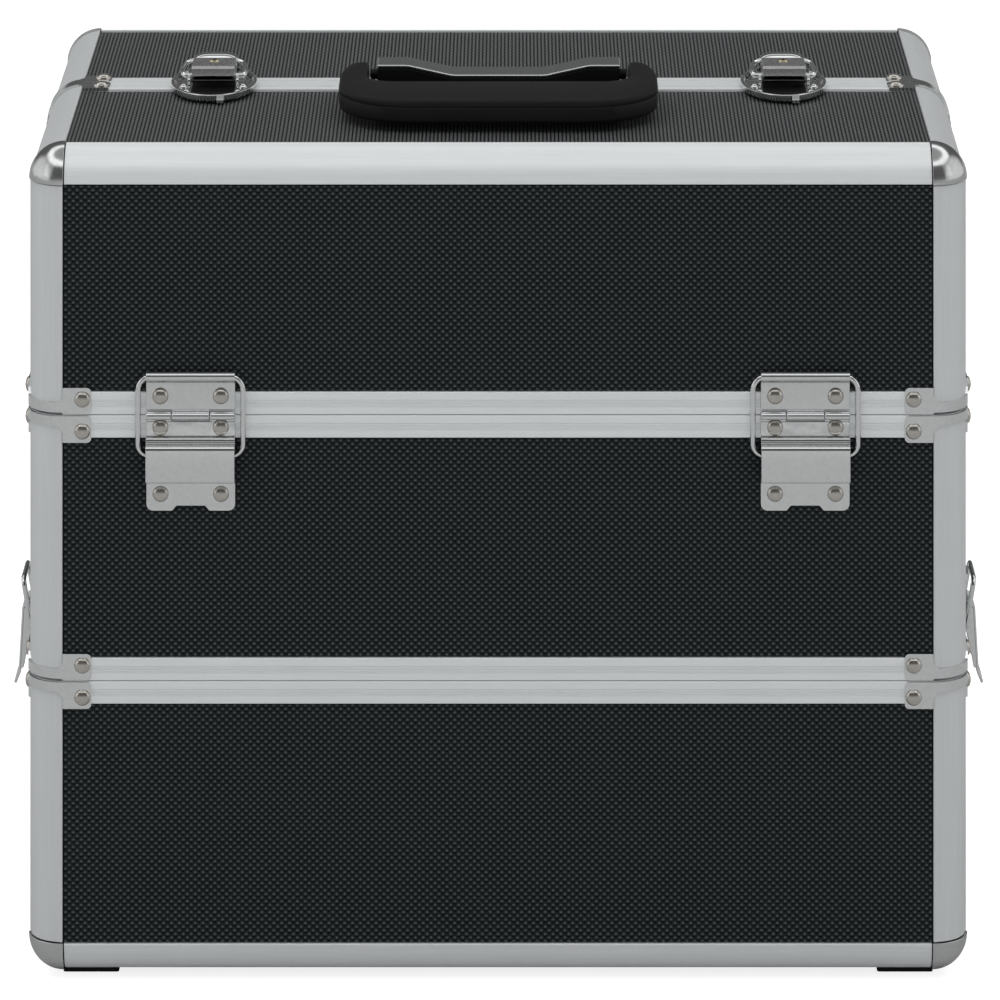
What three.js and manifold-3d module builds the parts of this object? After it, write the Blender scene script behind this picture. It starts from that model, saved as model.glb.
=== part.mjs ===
// Makeup train case with three stacked levels: a bottom case, a lift-off middle case and a lid that splits
// across its top into a front and a rear half, each hinged along its own face. Millimetres, +Z up, the front
// faces -Y, and the origin is the centre of the footprint at the underside of the feet.
import * as THREE from 'three'
import { mergeVertices } from 'three/addons/utils/BufferGeometryUtils.js'
import { RoundedBoxGeometry } from 'three/addons/geometries/RoundedBoxGeometry.js'
import Module from 'manifold-3d'

const wasm = await Module()
wasm.setup()

// Case body
const HALF_WIDTH = 185
const HALF_DEPTH = 115
const FOOT_HEIGHT = 3
const LOWER_SEAM = 120
const UPPER_SEAM = 224.8
const TOP = 328.8
const GAP = 0.3
const SEAM_GAP = 0.15
const JOIN_TOLERANCE = 0.02

// Aluminium profiles
const EDGE_RADIUS = 13.4
const PROFILE_WALL = 2.2
const RIM_HEIGHT = 9
const RIM_PROUD = 0.5
const CAP_PROUD = 0.7
const BRACKET_PROUD = 1.4
const CAP_REACH = 14.4
const SPLIT_RIM = 10
const LOBE = [12.8, 25]
const RIVET_INSET = 21.3
const SEAM_RIVET = 6.3
const SPLIT_RIVET = 7

// Boards
const WALL = 8
const BOARD_RECESS = 0.6
const BOARD_BACK = 3.5
const BOARD_LAP = 3.2
const INNER_X = HALF_WIDTH - WALL
const INNER_Y = HALF_DEPTH - WALL
const FLOOR_TOP = 14.1

// Hinges on the front and rear faces
const HINGE_X = 121
const HINGE_HALF = 17.5
const AXIS_OUT = 3.4
const BARREL_RADIUS = 2
const KNUCKLE_SPLIT = 7.4
const LEAF_IN = 0.8
const LEAF_OUT = 2
const RING_TOP = 15.8
const RING_BOTTOM = -15.2
const RING_OUT = 2.8
const RING_HALF = 20.7
const RING_WIRE = 1.1
const POCKET_OUT = 7.2

// Latches
const TOP_LATCH_X = 117.3
const TOP_LATCH_PIVOT = [-12.5, 5]
const TOP_BAIL_PIVOT = [-8, 5.5]
const TOP_BAIL_END = [4.8, 8.5]
const SIDE_LATCH_PIVOT = [5.5, -3.5]
const SIDE_BAIL_PIVOT = [7, -12]
const SIDE_BAIL_END = [10.4, 8.2]
const LATCH_WIRE = 1
const DISH_CENTRE = -6
const DISH = [17.5, 28]
const PIN_RADIUS = 1.2
const PIN_HOLE = 1.5

// Handle
const GRIP_PIVOT = [-17.5, 8.2]
const GRIP_THICKNESS = 9.5
const COVER_HALF = 49.6
const GRIP_HALF = 64.5
const GRIP_EYE = 53.2
const GRIP_BACK = -13.2
const GRIP_FRONT = -85
const GRIP_BAR = 35
const GRIP_SHOULDER = 28
const GRIP_ROUND = 30
const EYE_ROUND = 11

// Trays and their lifting arms, measured for the front half
const TRAY_HALF = 172
const TRAY_DEPTH = 92
const TRAY_HEIGHT = 32
const TRAY_FRONT = -99.6
const TRAY_FLOORS = [237.7, 274.9]
const ARM_PIVOT = [-93.7, 211.3]
const ARM_LEAN = 51.7
const ARM_HOLES = [42.1, 85.2]
const ARM_INSIDE = 173.8
const ARM_OUTSIDE = 175.6

const FINISHES = {
  board: [0x1d2122, 0.55, 0.2],
  lining: [0x202124, 0.9, 0],
  aluminium: [0xc9cccd, 0.35, 0.9],
  chrome: [0xd9dcdd, 0.12, 1],
  rubber: [0x17181a, 0.85, 0],
  plastic: [0x1a1b1c, 0.5, 0],
}

const group = new THREE.Group()
group.name = 'makeup_train_case'

// Solids --------------------------------------------------------------------------------------------------

function signedVolume(geometry) {
  const corners = geometry.attributes.position
  const order = geometry.index
  const [a, b, c] = [new THREE.Vector3(), new THREE.Vector3(), new THREE.Vector3()]
  let total = 0
  for (let i = 0; i < order.count; i += 3) {
    a.fromBufferAttribute(corners, order.getX(i))
    b.fromBufferAttribute(corners, order.getX(i + 1))
    c.fromBufferAttribute(corners, order.getX(i + 2))
    total += a.dot(b.cross(c)) / 6
  }
  return total
}

// Turns a closed three.js geometry into a solid that can be joined and cut, whichever way it was wound.
function solid(geometry) {
  const bare = new THREE.BufferGeometry()
  bare.setAttribute('position', geometry.attributes.position.clone())
  if (geometry.index) bare.setIndex(geometry.index.clone())
  const welded = mergeVertices(bare, 1e-4)
  const triangles = Uint32Array.from(welded.index.array)
  if (signedVolume(welded) < 0) {
    for (let i = 0; i < triangles.length; i += 3) {
      [triangles[i], triangles[i + 1]] = [triangles[i + 1], triangles[i]]
    }
  }
  const vertices = Float32Array.from(welded.attributes.position.array)
  return new wasm.Manifold(new wasm.Mesh({ numProp: 3, vertProperties: vertices, triVerts: triangles }))
}

function join(...pieces) {
  return pieces.flat().reduce((whole, piece) => whole.add(piece))
}

function cut(body, ...tools) {
  return tools.flat().reduce((rest, tool) => rest.subtract(tool), body)
}

function block(x, y, z) {
  const box = new THREE.BoxGeometry(x[1] - x[0], y[1] - y[0], z[1] - z[0])
  box.translate((x[0] + x[1]) / 2, (y[0] + y[1]) / 2, (z[0] + z[1]) / 2)
  return solid(box)
}

// Extrudes a closed outline along one axis. Outlines are [y, z] along x, [x, z] along y and [x, y] along z.
function prism(axis, outline, from, to, hole = null) {
  const flat = (points) => {
    const placed = points.map(([u, v]) => (axis === 'y' ? new THREE.Vector2(v, u) : new THREE.Vector2(u, v)))
    return THREE.ShapeUtils.isClockWise(placed) ? placed.reverse() : placed
  }
  const shape = new THREE.Shape(flat(outline))
  if (hole) shape.holes.push(new THREE.Path(flat(hole)))
  const body = new THREE.ExtrudeGeometry(shape, { depth: to - from, bevelEnabled: false })
  body.translate(0, 0, from)
  const turns = {
    x: new THREE.Matrix4().set(0, 0, 1, 0, 1, 0, 0, 0, 0, 1, 0, 0, 0, 0, 0, 1),
    y: new THREE.Matrix4().set(0, 1, 0, 0, 0, 0, 1, 0, 1, 0, 0, 0, 0, 0, 0, 1),
    z: new THREE.Matrix4(),
  }
  body.applyMatrix4(turns[axis])
  return solid(body)
}

function disc(u, v, radius, sides = 12) {
  const corner = (_, i) => [
    u + radius * Math.cos(((i + 0.5) * 2 * Math.PI) / sides),
    v + radius * Math.sin(((i + 0.5) * 2 * Math.PI) / sides),
  ]
  return Array.from({ length: sides }, corner)
}

function rounded([u0, u1], [v0, v1], radius, steps = 3) {
  const centres = [[u1 - radius, v1 - radius], [u0 + radius, v1 - radius], [u0 + radius, v0 + radius],
    [u1 - radius, v0 + radius]]
  return centres.flatMap(([u, v], quarter) => Array.from({ length: steps + 1 }, (_, i) => {
    const angle = ((quarter + i / steps) * Math.PI) / 2
    return [u + radius * Math.cos(angle), v + radius * Math.sin(angle)]
  }))
}

// Sweeps a round wire along a path that lies in one plane, mitred at every point.
function wire(path, radius, normal, closed, sides = 8) {
  const points = path.map((p) => new THREE.Vector3(...p))
  const up = new THREE.Vector3(...normal)
  const count = points.length
  const positions = []
  const indices = []
  points.forEach((point, i) => {
    const before = closed || i > 0 ? points[(i + count - 1) % count] : point
    const after = closed || i < count - 1 ? points[(i + 1) % count] : point
    const arrive = point.clone().sub(before).normalize()
    const leave = after.clone().sub(point).normalize()
    const along = arrive.clone().add(leave).normalize()
    const stretch = 1 / Math.max(0.5, Math.max(arrive.dot(along), leave.dot(along)))
    const side = up.clone().cross(along)
    for (let k = 0; k < sides; k++) {
      const angle = ((k + 0.5) * 2 * Math.PI) / sides
      const spot = point.clone()
      spot.addScaledVector(side, radius * stretch * Math.cos(angle))
      spot.addScaledVector(up, radius * Math.sin(angle))
      positions.push(spot.x, spot.y, spot.z)
    }
  })
  for (let i = 0; i < (closed ? count : count - 1); i++) {
    for (let k = 0; k < sides; k++) {
      const [a, b] = [i * sides + k, i * sides + ((k + 1) % sides)]
      const next = ((i + 1) % count) * sides
      const [c, d] = [next + k, next + ((k + 1) % sides)]
      indices.push(a, b, d, a, d, c)
    }
  }
  if (!closed) {
    const last = (count - 1) * sides
    for (let k = 1; k < sides - 1; k++) {
      indices.push(0, k + 1, k, last, last + k, last + k + 1)
    }
  }
  const body = new THREE.BufferGeometry()
  body.setAttribute('position', new THREE.Float32BufferAttribute(positions, 3))
  body.setIndex(indices)
  return solid(body)
}

function geometryOf(body) {
  const mesh = body.getMesh()
  const geometry = new THREE.BufferGeometry()
  const corners = Float32Array.from(mesh.vertProperties)
  geometry.setAttribute('position', new THREE.Float32BufferAttribute(corners, 3))
  geometry.setIndex(Array.from(mesh.triVerts))
  return geometry
}

// Copies a solid by flipping the sign of the chosen axes.
function mirrored(body, x, y) {
  const copy = geometryOf(body)
  copy.scale(x, y, 1)
  return solid(copy)
}

function moved(body, x, y, z) {
  const copy = geometryOf(body)
  copy.translate(x, y, z)
  return solid(copy)
}

function addPart(name, finish, body) {
  const [color, roughness, metalness] = FINISHES[finish]
  const flat = geometryOf(body.asOriginal().simplify(JOIN_TOLERANCE)).toNonIndexed()
  flat.computeVertexNormals()
  const mesh = new THREE.Mesh(flat, new THREE.MeshStandardMaterial({ color, roughness, metalness }))
  mesh.name = name
  group.add(mesh)
}

// Domed rivet head standing on a face, pointing away from it.
const RIVET_TURNS = {
  out_right: (head) => head.rotateZ(-Math.PI / 2),
  out_front: (head) => head.rotateX(Math.PI),
  up: (head) => head.rotateX(Math.PI / 2),
}

function rivet(direction, x, y, z) {
  const profile = [[0, -0.8], [3.1, -0.8], [2.5, 1.2], [0, 1.9]]
  const head = new THREE.LatheGeometry(profile.map(([r, h]) => new THREE.Vector2(r, h)), 8)
  RIVET_TURNS[direction](head)
  head.translate(x, y, z)
  return solid(head)
}

// Profile frames ------------------------------------------------------------------------------------------

const FAR = 400
const EVERYWHERE = [-FAR, FAR]
const WINDOW_X = [EDGE_RADIUS - HALF_WIDTH, HALF_WIDTH - EDGE_RADIUS]
const WINDOW_Y = [EDGE_RADIUS - HALF_DEPTH, HALF_DEPTH - EDGE_RADIUS]
const LID_WINDOW_Y = [EDGE_RADIUS - HALF_DEPTH, -SPLIT_RIM]
const LID_WINDOW_Z = [UPPER_SEAM + RIM_HEIGHT, TOP - EDGE_RADIUS]

function roundedCase(offset) {
  const height = TOP - FOOT_HEIGHT
  const size = [HALF_WIDTH * 2, HALF_DEPTH * 2, height].map((length) => length + 2 * offset)
  const box = new RoundedBoxGeometry(...size, 3, EDGE_RADIUS + offset)
  box.translate(0, 0, FOOT_HEIGHT + height / 2)
  return solid(box)
}

function planOutline(offset) {
  const [x, y] = [HALF_WIDTH + offset, HALF_DEPTH + offset]
  return rounded([-x, x], [-y, y], EDGE_RADIUS + offset)
}

function frontOutline(offset) {
  const x = HALF_WIDTH + offset
  return rounded([-x, x], [UPPER_SEAM - 40 - offset, TOP + offset], EDGE_RADIUS + offset)
}

const skin = cut(roundedCase(0), roundedCase(-PROFILE_WALL))
const capSkin = cut(roundedCase(CAP_PROUD), roundedCase(-0.3))
const behindSkin = roundedCase(-PROFILE_WALL - GAP)
const innerOutline = rounded([-INNER_X, INNER_X], [-INNER_Y, INNER_Y], 3, 1)

// The side windows cut a wall of posts out of the skin between two heights.
function windows(z, y) {
  return [block(WINDOW_X, EVERYWHERE, z), block(EVERYWHERE, y, z)]
}

// Flat ring round the case with two ridges on its outside.
function seamRim(low, high) {
  const groove = [low + (high - low) * 0.44, low + (high - low) * 0.56]
  const ridges = [[low, groove[0]], [groove[1], high]].map(([from, to]) => (
    prism('z', planOutline(RIM_PROUD), from, to, innerOutline)))
  return join(prism('z', planOutline(0), low, high, innerOutline), ridges)
}

// Ridged arch along the split of the front lid half: up both side walls and across the top.
function splitRim() {
  const hole = rounded([-INNER_X, INNER_X], [UPPER_SEAM - 20, TOP - WALL], 3, 1)
  const strips = [[-SPLIT_RIM, -5.6], [-4.5, -SEAM_GAP]]
  const ridges = strips.map(([from, to]) => prism('y', frontOutline(RIM_PROUD), from, to, hole))
  const arch = join(prism('y', frontOutline(0), -SPLIT_RIM, -SEAM_GAP, hole), ridges)
  return arch.intersect(block(EVERYWHERE, EVERYWHERE, [UPPER_SEAM + SEAM_GAP, FAR]))
}

function ordered(a, b) {
  return [Math.min(a, b), Math.max(a, b)]
}

// Wrap-around bracket at the front right post: a riveted lobe on each face and a narrow band round the post.
// side is 1 above the seam and -1 below it.
function seamBracket(seam, side) {
  const lobe = ordered(seam + side * 0.6, seam + side * 10.6)
  const band = ordered(seam + side * 0.6, seam + side * 5.1)
  const layer = prism('z', planOutline(BRACKET_PROUD), ...lobe, planOutline(-0.4))
  const shape = join(
    block([HALF_WIDTH - LOBE[0] - 1, FAR], [-FAR, LOBE[0] + 1 - HALF_DEPTH], band),
    prism('y', rounded([HALF_WIDTH - LOBE[1], HALF_WIDTH - LOBE[0]], lobe, 1.5, 1), -FAR, 0),
    prism('x', rounded([LOBE[0] - HALF_DEPTH, LOBE[1] - HALF_DEPTH], lobe, 1.5, 1), 0, FAR),
  )
  const height = seam + side * SEAM_RIVET
  return join(
    layer.intersect(shape),
    rivet('out_front', HALF_WIDTH - RIVET_INSET, -HALF_DEPTH - BRACKET_PROUD, height),
    rivet('out_right', HALF_WIDTH + BRACKET_PROUD, RIVET_INSET - HALF_DEPTH, height),
  )
}

// The same bracket over the top right edge, beside the split of the front lid half.
function splitBracket() {
  const [lobe, band] = [[-10.6, -0.6], [-5.1, -0.6]]
  const layer = prism('y', frontOutline(BRACKET_PROUD), ...lobe, frontOutline(-0.4))
  const shape = join(
    block([HALF_WIDTH - LOBE[0] - 1, FAR], band, [TOP - LOBE[0] - 1, FAR]),
    prism('z', rounded([HALF_WIDTH - LOBE[1], HALF_WIDTH - LOBE[0]], lobe, 1.5, 1), UPPER_SEAM, FAR),
    prism('x', rounded(lobe, [TOP - LOBE[1], TOP - LOBE[0]], 1.5, 1), 0, FAR),
  )
  return join(
    layer.intersect(shape),
    rivet('up', HALF_WIDTH - RIVET_INSET, -SPLIT_RIVET, TOP + BRACKET_PROUD),
    rivet('out_right', HALF_WIDTH + BRACKET_PROUD, -SPLIT_RIVET, TOP - RIVET_INSET),
  )
}

function cornerCap(z) {
  return capSkin.intersect(block([HALF_WIDTH - CAP_REACH, FAR], [-FAR, CAP_REACH - HALF_DEPTH], z))
}

function bothSides(piece) {
  return [piece, mirrored(piece, -1, 1)]
}

function allPosts(piece) {
  return bothSides(piece).flatMap((half) => [half, mirrored(half, 1, -1)])
}

function bottomFrame() {
  const seam = LOWER_SEAM - SEAM_GAP
  const shell = cut(
    skin.intersect(block(EVERYWHERE, EVERYWHERE, [0, seam])),
    windows([FOOT_HEIGHT + EDGE_RADIUS, LOWER_SEAM - RIM_HEIGHT], WINDOW_Y),
    block(WINDOW_X, WINDOW_Y, [0, FLOOR_TOP]),
  )
  return join(
    shell,
    seamRim(LOWER_SEAM - RIM_HEIGHT, seam),
    allPosts(cornerCap([0, FOOT_HEIGHT + CAP_REACH])),
    allPosts(seamBracket(LOWER_SEAM, -1)),
  )
}

function middleFrame() {
  const [low, high] = [LOWER_SEAM + SEAM_GAP, UPPER_SEAM - SEAM_GAP]
  const shell = cut(
    skin.intersect(block(EVERYWHERE, EVERYWHERE, [low, high])),
    windows([LOWER_SEAM + RIM_HEIGHT, UPPER_SEAM - RIM_HEIGHT], WINDOW_Y),
  )
  const rims = [seamRim(low, LOWER_SEAM + RIM_HEIGHT), seamRim(UPPER_SEAM - RIM_HEIGHT, high)]
  return join(shell, rims, allPosts(seamBracket(LOWER_SEAM, 1)), allPosts(seamBracket(UPPER_SEAM, -1)))
}

function frontLidFrame() {
  const low = UPPER_SEAM + SEAM_GAP
  const half = block(EVERYWHERE, [-FAR, -SEAM_GAP], [low, FAR])
  const shell = cut(
    skin.intersect(half),
    windows(LID_WINDOW_Z, LID_WINDOW_Y),
    block(WINDOW_X, LID_WINDOW_Y, [TOP - EDGE_RADIUS, FAR]),
  )
  return join(
    shell,
    seamRim(low, UPPER_SEAM + RIM_HEIGHT).intersect(half),
    splitRim(),
    bothSides(cornerCap([TOP - CAP_REACH, FAR])),
    bothSides(seamBracket(UPPER_SEAM, 1)),
    bothSides(splitBracket()),
  )
}

// Boards --------------------------------------------------------------------------------------------------

function inset([low, high]) {
  return [low + GAP, high - GAP]
}

function lapped([low, high]) {
  return [low - BOARD_LAP, high + BOARD_LAP]
}

// Ring of four boards between two heights, stepped forward where the frame leaves a window.
function wallBoards(low, high, windowZ) {
  const [x, y] = [HALF_WIDTH - BOARD_RECESS, HALF_DEPTH - BOARD_RECESS]
  const faces = join(
    block(inset(WINDOW_X), [-y, y], inset(windowZ)),
    block([-x, x], inset(WINDOW_Y), inset(windowZ)),
  )
  const cavity = prism('z', innerOutline, low - 20, high + 20)
  const ring = prism('z', planOutline(-PROFILE_WALL - GAP), low, high, innerOutline).intersect(behindSkin)
  return join(ring, cut(faces, cavity))
}

function bottomFloor() {
  const seat = FOOT_HEIGHT + BOARD_BACK
  const [x, y] = [lapped(WINDOW_X), lapped(WINDOW_Y)]
  return join(
    block(inset(WINDOW_X), inset(WINDOW_Y), [FOOT_HEIGHT + BOARD_RECESS, seat]),
    prism('z', rounded(x, y, BOARD_LAP), seat, FLOOR_TOP),
  )
}

function frontLidBoards() {
  const frontZ = [LID_WINDOW_Z[0] + GAP, LID_WINDOW_Z[1] + BOARD_LAP]
  const behindSplit = [LID_WINDOW_Y[0] - BOARD_LAP, LID_WINDOW_Y[1] - GAP]
  const front = join(
    block(inset(WINDOW_X), [BOARD_RECESS - HALF_DEPTH, BOARD_BACK - HALF_DEPTH], inset(LID_WINDOW_Z)),
    block(lapped(WINDOW_X), [BOARD_BACK - HALF_DEPTH, -INNER_Y], frontZ),
  )
  const top = join(
    block(inset(WINDOW_X), inset(LID_WINDOW_Y), [TOP - BOARD_BACK, TOP - BOARD_RECESS]),
    block(lapped(WINDOW_X), behindSplit, [TOP - WALL, TOP - BOARD_BACK]),
  )
  const right = join(
    block([HALF_WIDTH - BOARD_BACK, HALF_WIDTH - BOARD_RECESS], inset(LID_WINDOW_Y), inset(LID_WINDOW_Z)),
    block([INNER_X, HALF_WIDTH - BOARD_BACK], behindSplit, frontZ),
  )
  return { face: front, top, right, left: mirrored(right, -1, 1) }
}

// Slab foot, stepped where its outer end passes under the ball corner.
function foot() {
  const [inner, outer, step] = [HALF_WIDTH - 34.8, HALF_WIDTH - 12.7, HALF_WIDTH - CAP_REACH - GAP]
  const top = FOOT_HEIGHT - GAP
  const outline = [[inner, 0], [outer, 0], [outer, 1.8], [step, 1.8], [step, top], [inner, top]]
  return prism('y', outline, 14 - HALF_DEPTH, 36 - HALF_DEPTH)
}

// Hinges on the front face, centred on x = 0 --------------------------------------------------------------

// Points given as distance out from the front face and height above the upper seam.
function onFront(points) {
  return points.map(([out, height]) => [-HALF_DEPTH - out, UPPER_SEAM + height])
}

function frontDisc(out, height, radius, from, to) {
  return prism('x', disc(...onFront([[out, height]])[0], radius), from, to)
}

function frontBlock(x, [out0, out1], [low, high]) {
  return block(x, [-HALF_DEPTH - out1, -HALF_DEPTH - out0], [UPPER_SEAM + low, UPPER_SEAM + high])
}

function upperLeaf() {
  const knuckle = [-KNUCKLE_SPLIT, KNUCKLE_SPLIT]
  const plate = frontBlock([-HINGE_HALF, HINGE_HALF], [LEAF_IN, LEAF_OUT], [2.6, RING_TOP])
  return cut(
    join(
      plate,
      frontDisc(RING_OUT, RING_TOP, BARREL_RADIUS, -HINGE_HALF, HINGE_HALF),
      frontDisc(AXIS_OUT, 0, BARREL_RADIUS, ...knuckle),
      frontBlock(knuckle, [1.4, 2.6], [0.6, 3]),
      bothSides(rivet('out_front', 11.9, -HALF_DEPTH - LEAF_OUT, UPPER_SEAM + 7.8)),
    ),
    frontDisc(RING_OUT, RING_TOP, RING_WIRE + 0.35, -30, 30),
  )
}

// Riveted strip, a raised pocket that holds the foot of the ring, and a riveted tongue with a notched edge.
function lowerLeaf() {
  const outline = onFront([
    [LEAF_IN, -2.6], [LEAF_OUT, -2.6], [LEAF_OUT, -7.8], [5.4, -8.6], [POCKET_OUT, -10.4], [POCKET_OUT, -25],
    [1, -26.6], [1, -37.6], [-0.2, -37.6], [-0.2, -26.4], [POCKET_OUT - 0.8, -24.3], [POCKET_OUT - 0.8, -11],
    [5, -9.6], [LEAF_IN, -8.9],
  ])
  const edge = UPPER_SEAM - 37.6
  const notch = [[-7.3, edge - 1], [7.3, edge - 1], [5.6, edge + 2], [-5.6, edge + 2]]
  const knuckle = join(
    frontDisc(AXIS_OUT, 0, BARREL_RADIUS, KNUCKLE_SPLIT + GAP, HINGE_HALF),
    frontBlock([KNUCKLE_SPLIT + GAP, HINGE_HALF], [1.4, 2.6], [-3, -0.6]),
  )
  return cut(
    join(
      prism('x', outline, -HINGE_HALF, HINGE_HALF),
      bothSides(knuckle),
      bothSides(rivet('out_front', 11.9, -HALF_DEPTH - LEAF_OUT, UPPER_SEAM - 5)),
      bothSides(rivet('out_front', 11.9, -HALF_DEPTH - 1, UPPER_SEAM - 31)),
    ),
    prism('y', notch, -FAR, 0),
  )
}

function hingeRing() {
  const path = rounded([-RING_HALF, RING_HALF], [UPPER_SEAM + RING_BOTTOM, UPPER_SEAM + RING_TOP], 4, 2)
  const y = -HALF_DEPTH - RING_OUT
  return wire(path.map(([x, z]) => [x, y, z]), RING_WIRE, [0, 1, 0], true)
}

// Latches -------------------------------------------------------------------------------------------------

// U-shaped bail given as its half width and the two ends of its arm, mapped into place by the caller.
function bailPath(half, reach) {
  const side = [[half - 4.6, 0], [half - 1.2, 0], [half, 1.2], [half, reach - 3], [half - 0.9, reach - 0.9],
    [half - 3, reach]]
  return [...side, ...side.map(([u, v]) => [-u, v]).reverse()]
}

function latchOval(shrink) {
  return Array.from({ length: 24 }, (_, i) => {
    const angle = (i * Math.PI) / 12
    return [(DISH[0] - shrink) * Math.cos(angle), DISH_CENTRE + (DISH[1] - shrink) * Math.sin(angle)]
  })
}

function latchDish() {
  return cut(
    prism('z', latchOval(0), TOP + 0.8, TOP + 3.3),
    prism('z', latchOval(2.2), TOP + 1.8, TOP + 5),
  )
}

function topLatch() {
  const onTop = (points) => points.map(([y, height]) => [y, TOP + height])
  const pivot = onTop([TOP_LATCH_PIVOT])[0]
  const hook = onTop([TOP_BAIL_PIVOT])[0]
  const ear = cut(
    join(
      prism('x', disc(...pivot, 2.6), 9.2, 10.9),
      block([9.2, 10.9], [pivot[0] - 2.5, pivot[0] + 2.5], [TOP + 1.5, pivot[1]]),
    ),
    prism('x', disc(...pivot, PIN_HOLE), 0, 20),
  )
  const base = join(latchDish().intersect(block(EVERYWHERE, [-FAR, -GAP], EVERYWHERE)), bothSides(ear))
  const nose = onTop([[8.5, 1.5], [9.2, 5.4], [12, 7.8], [15, 7.4], [18, 1.5]])
  const keeper = join(
    latchDish().intersect(block(EVERYWHERE, [GAP, FAR], EVERYWHERE)),
    prism('x', nose, -8.7, 8.7),
  )
  const shape = onTop([[-15, 3.6], [1.2, 3.6], [3.2, 6], [3.2, 10], [2.4, 10.7], [-13.6, 10.7], [-15, 9.3]])
  const lever = cut(
    join(
      prism('x', shape, -8.75, 8.75),
      prism('x', disc(...pivot, PIN_RADIUS), -10.7, 10.7),
      prism('z', disc(0, -4, 2.3), TOP + 10, TOP + 11.1),
    ),
    bothSides(prism('x', disc(...hook, LATCH_WIRE + GAP), 7.4, 12)),
  )
  const [dy, dz] = [TOP_BAIL_END[0] - TOP_BAIL_PIVOT[0], TOP_BAIL_END[1] - TOP_BAIL_PIVOT[1]]
  const reach = Math.hypot(dy, dz)
  const path = bailPath(12.5, reach).map(([u, v]) => (
    [u, hook[0] + (v * dy) / reach, hook[1] + (v * dz) / reach]))
  const bail = wire(path, LATCH_WIRE, [0, -dz / reach, dy / reach], false)
  return { base, keeper, lever, bail }
}

// Draw latch on the right side. Points are distance out from the side face and height above the lower seam.
function sideLatch() {
  const onSide = (points) => points.map(([out, height]) => [HALF_WIDTH + out, LOWER_SEAM + height])
  const plate = (y, low, high) => block(
    [HALF_WIDTH + LEAF_IN, HALF_WIDTH + LEAF_OUT], [-y, y], [LOWER_SEAM + low, LOWER_SEAM + high])
  const studs = (y, height) => [-y, y].map((at) => (
    rivet('out_right', HALF_WIDTH + LEAF_OUT, at, LOWER_SEAM + height)))
  const pivot = onSide([SIDE_LATCH_PIVOT])[0]
  const hook = onSide([SIDE_BAIL_PIVOT])[0]
  const ears = [[-10.5, -9.1], [9.1, 10.5]].map(([from, to]) => cut(
    join(
      prism('y', disc(...pivot, 2.8), from, to),
      block([HALF_WIDTH + 1.5, pivot[0]], [from, to], [pivot[1] - 2.7, pivot[1] + 2.7]),
    ),
    prism('y', disc(...pivot, PIN_HOLE), from - 1, to + 1),
  ))
  const base = join(plate(16.5, -31, -1), ears, studs(12.6, -26.5), studs(12.6, -6.5))
  const beak = onSide([[1.5, 2], [8.2, 6], [8.2, 8.8], [7, 9.4], [1.5, 5.6]])
  const keeper = join(plate(16.5, 1, 13.5), prism('y', beak, -9, 9), studs(12.6, 6.5))
  const shell = onSide([[3.6, -1.9], [8.8, -1.9], [11.4, -4], [12.7, -30.8], [14.6, -35.2], [13.6, -35.7],
    [11.3, -31.4], [8, -16], [3.6, -6]])
  const hollow = onSide([[0, -3.2], [8.4, -3.2], [10.2, -4.8], [11.3, -30.4], [9, -30.4], [0, -20]])
  const lever = cut(
    join(
      cut(prism('y', shell, -8.7, 8.7), prism('y', hollow, -7.4, 7.4)),
      prism('y', disc(...pivot, PIN_RADIUS), -10.3, 10.3),
    ),
    prism('y', disc(...hook, LATCH_WIRE + GAP), -20, 20),
  )
  const [dx, dz] = [SIDE_BAIL_END[0] - SIDE_BAIL_PIVOT[0], SIDE_BAIL_END[1] - SIDE_BAIL_PIVOT[1]]
  const reach = Math.hypot(dx, dz)
  const path = bailPath(12.3, reach).map(([u, v]) => (
    [hook[0] + (v * dx) / reach, u, hook[1] + (v * dz) / reach]))
  const bail = wire(path, LATCH_WIRE, [dz / reach, 0, -dx / reach], false)
  return { base, keeper, lever, bail }
}

// Carrying handle on the front lid half ------------------------------------------------------------------

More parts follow.
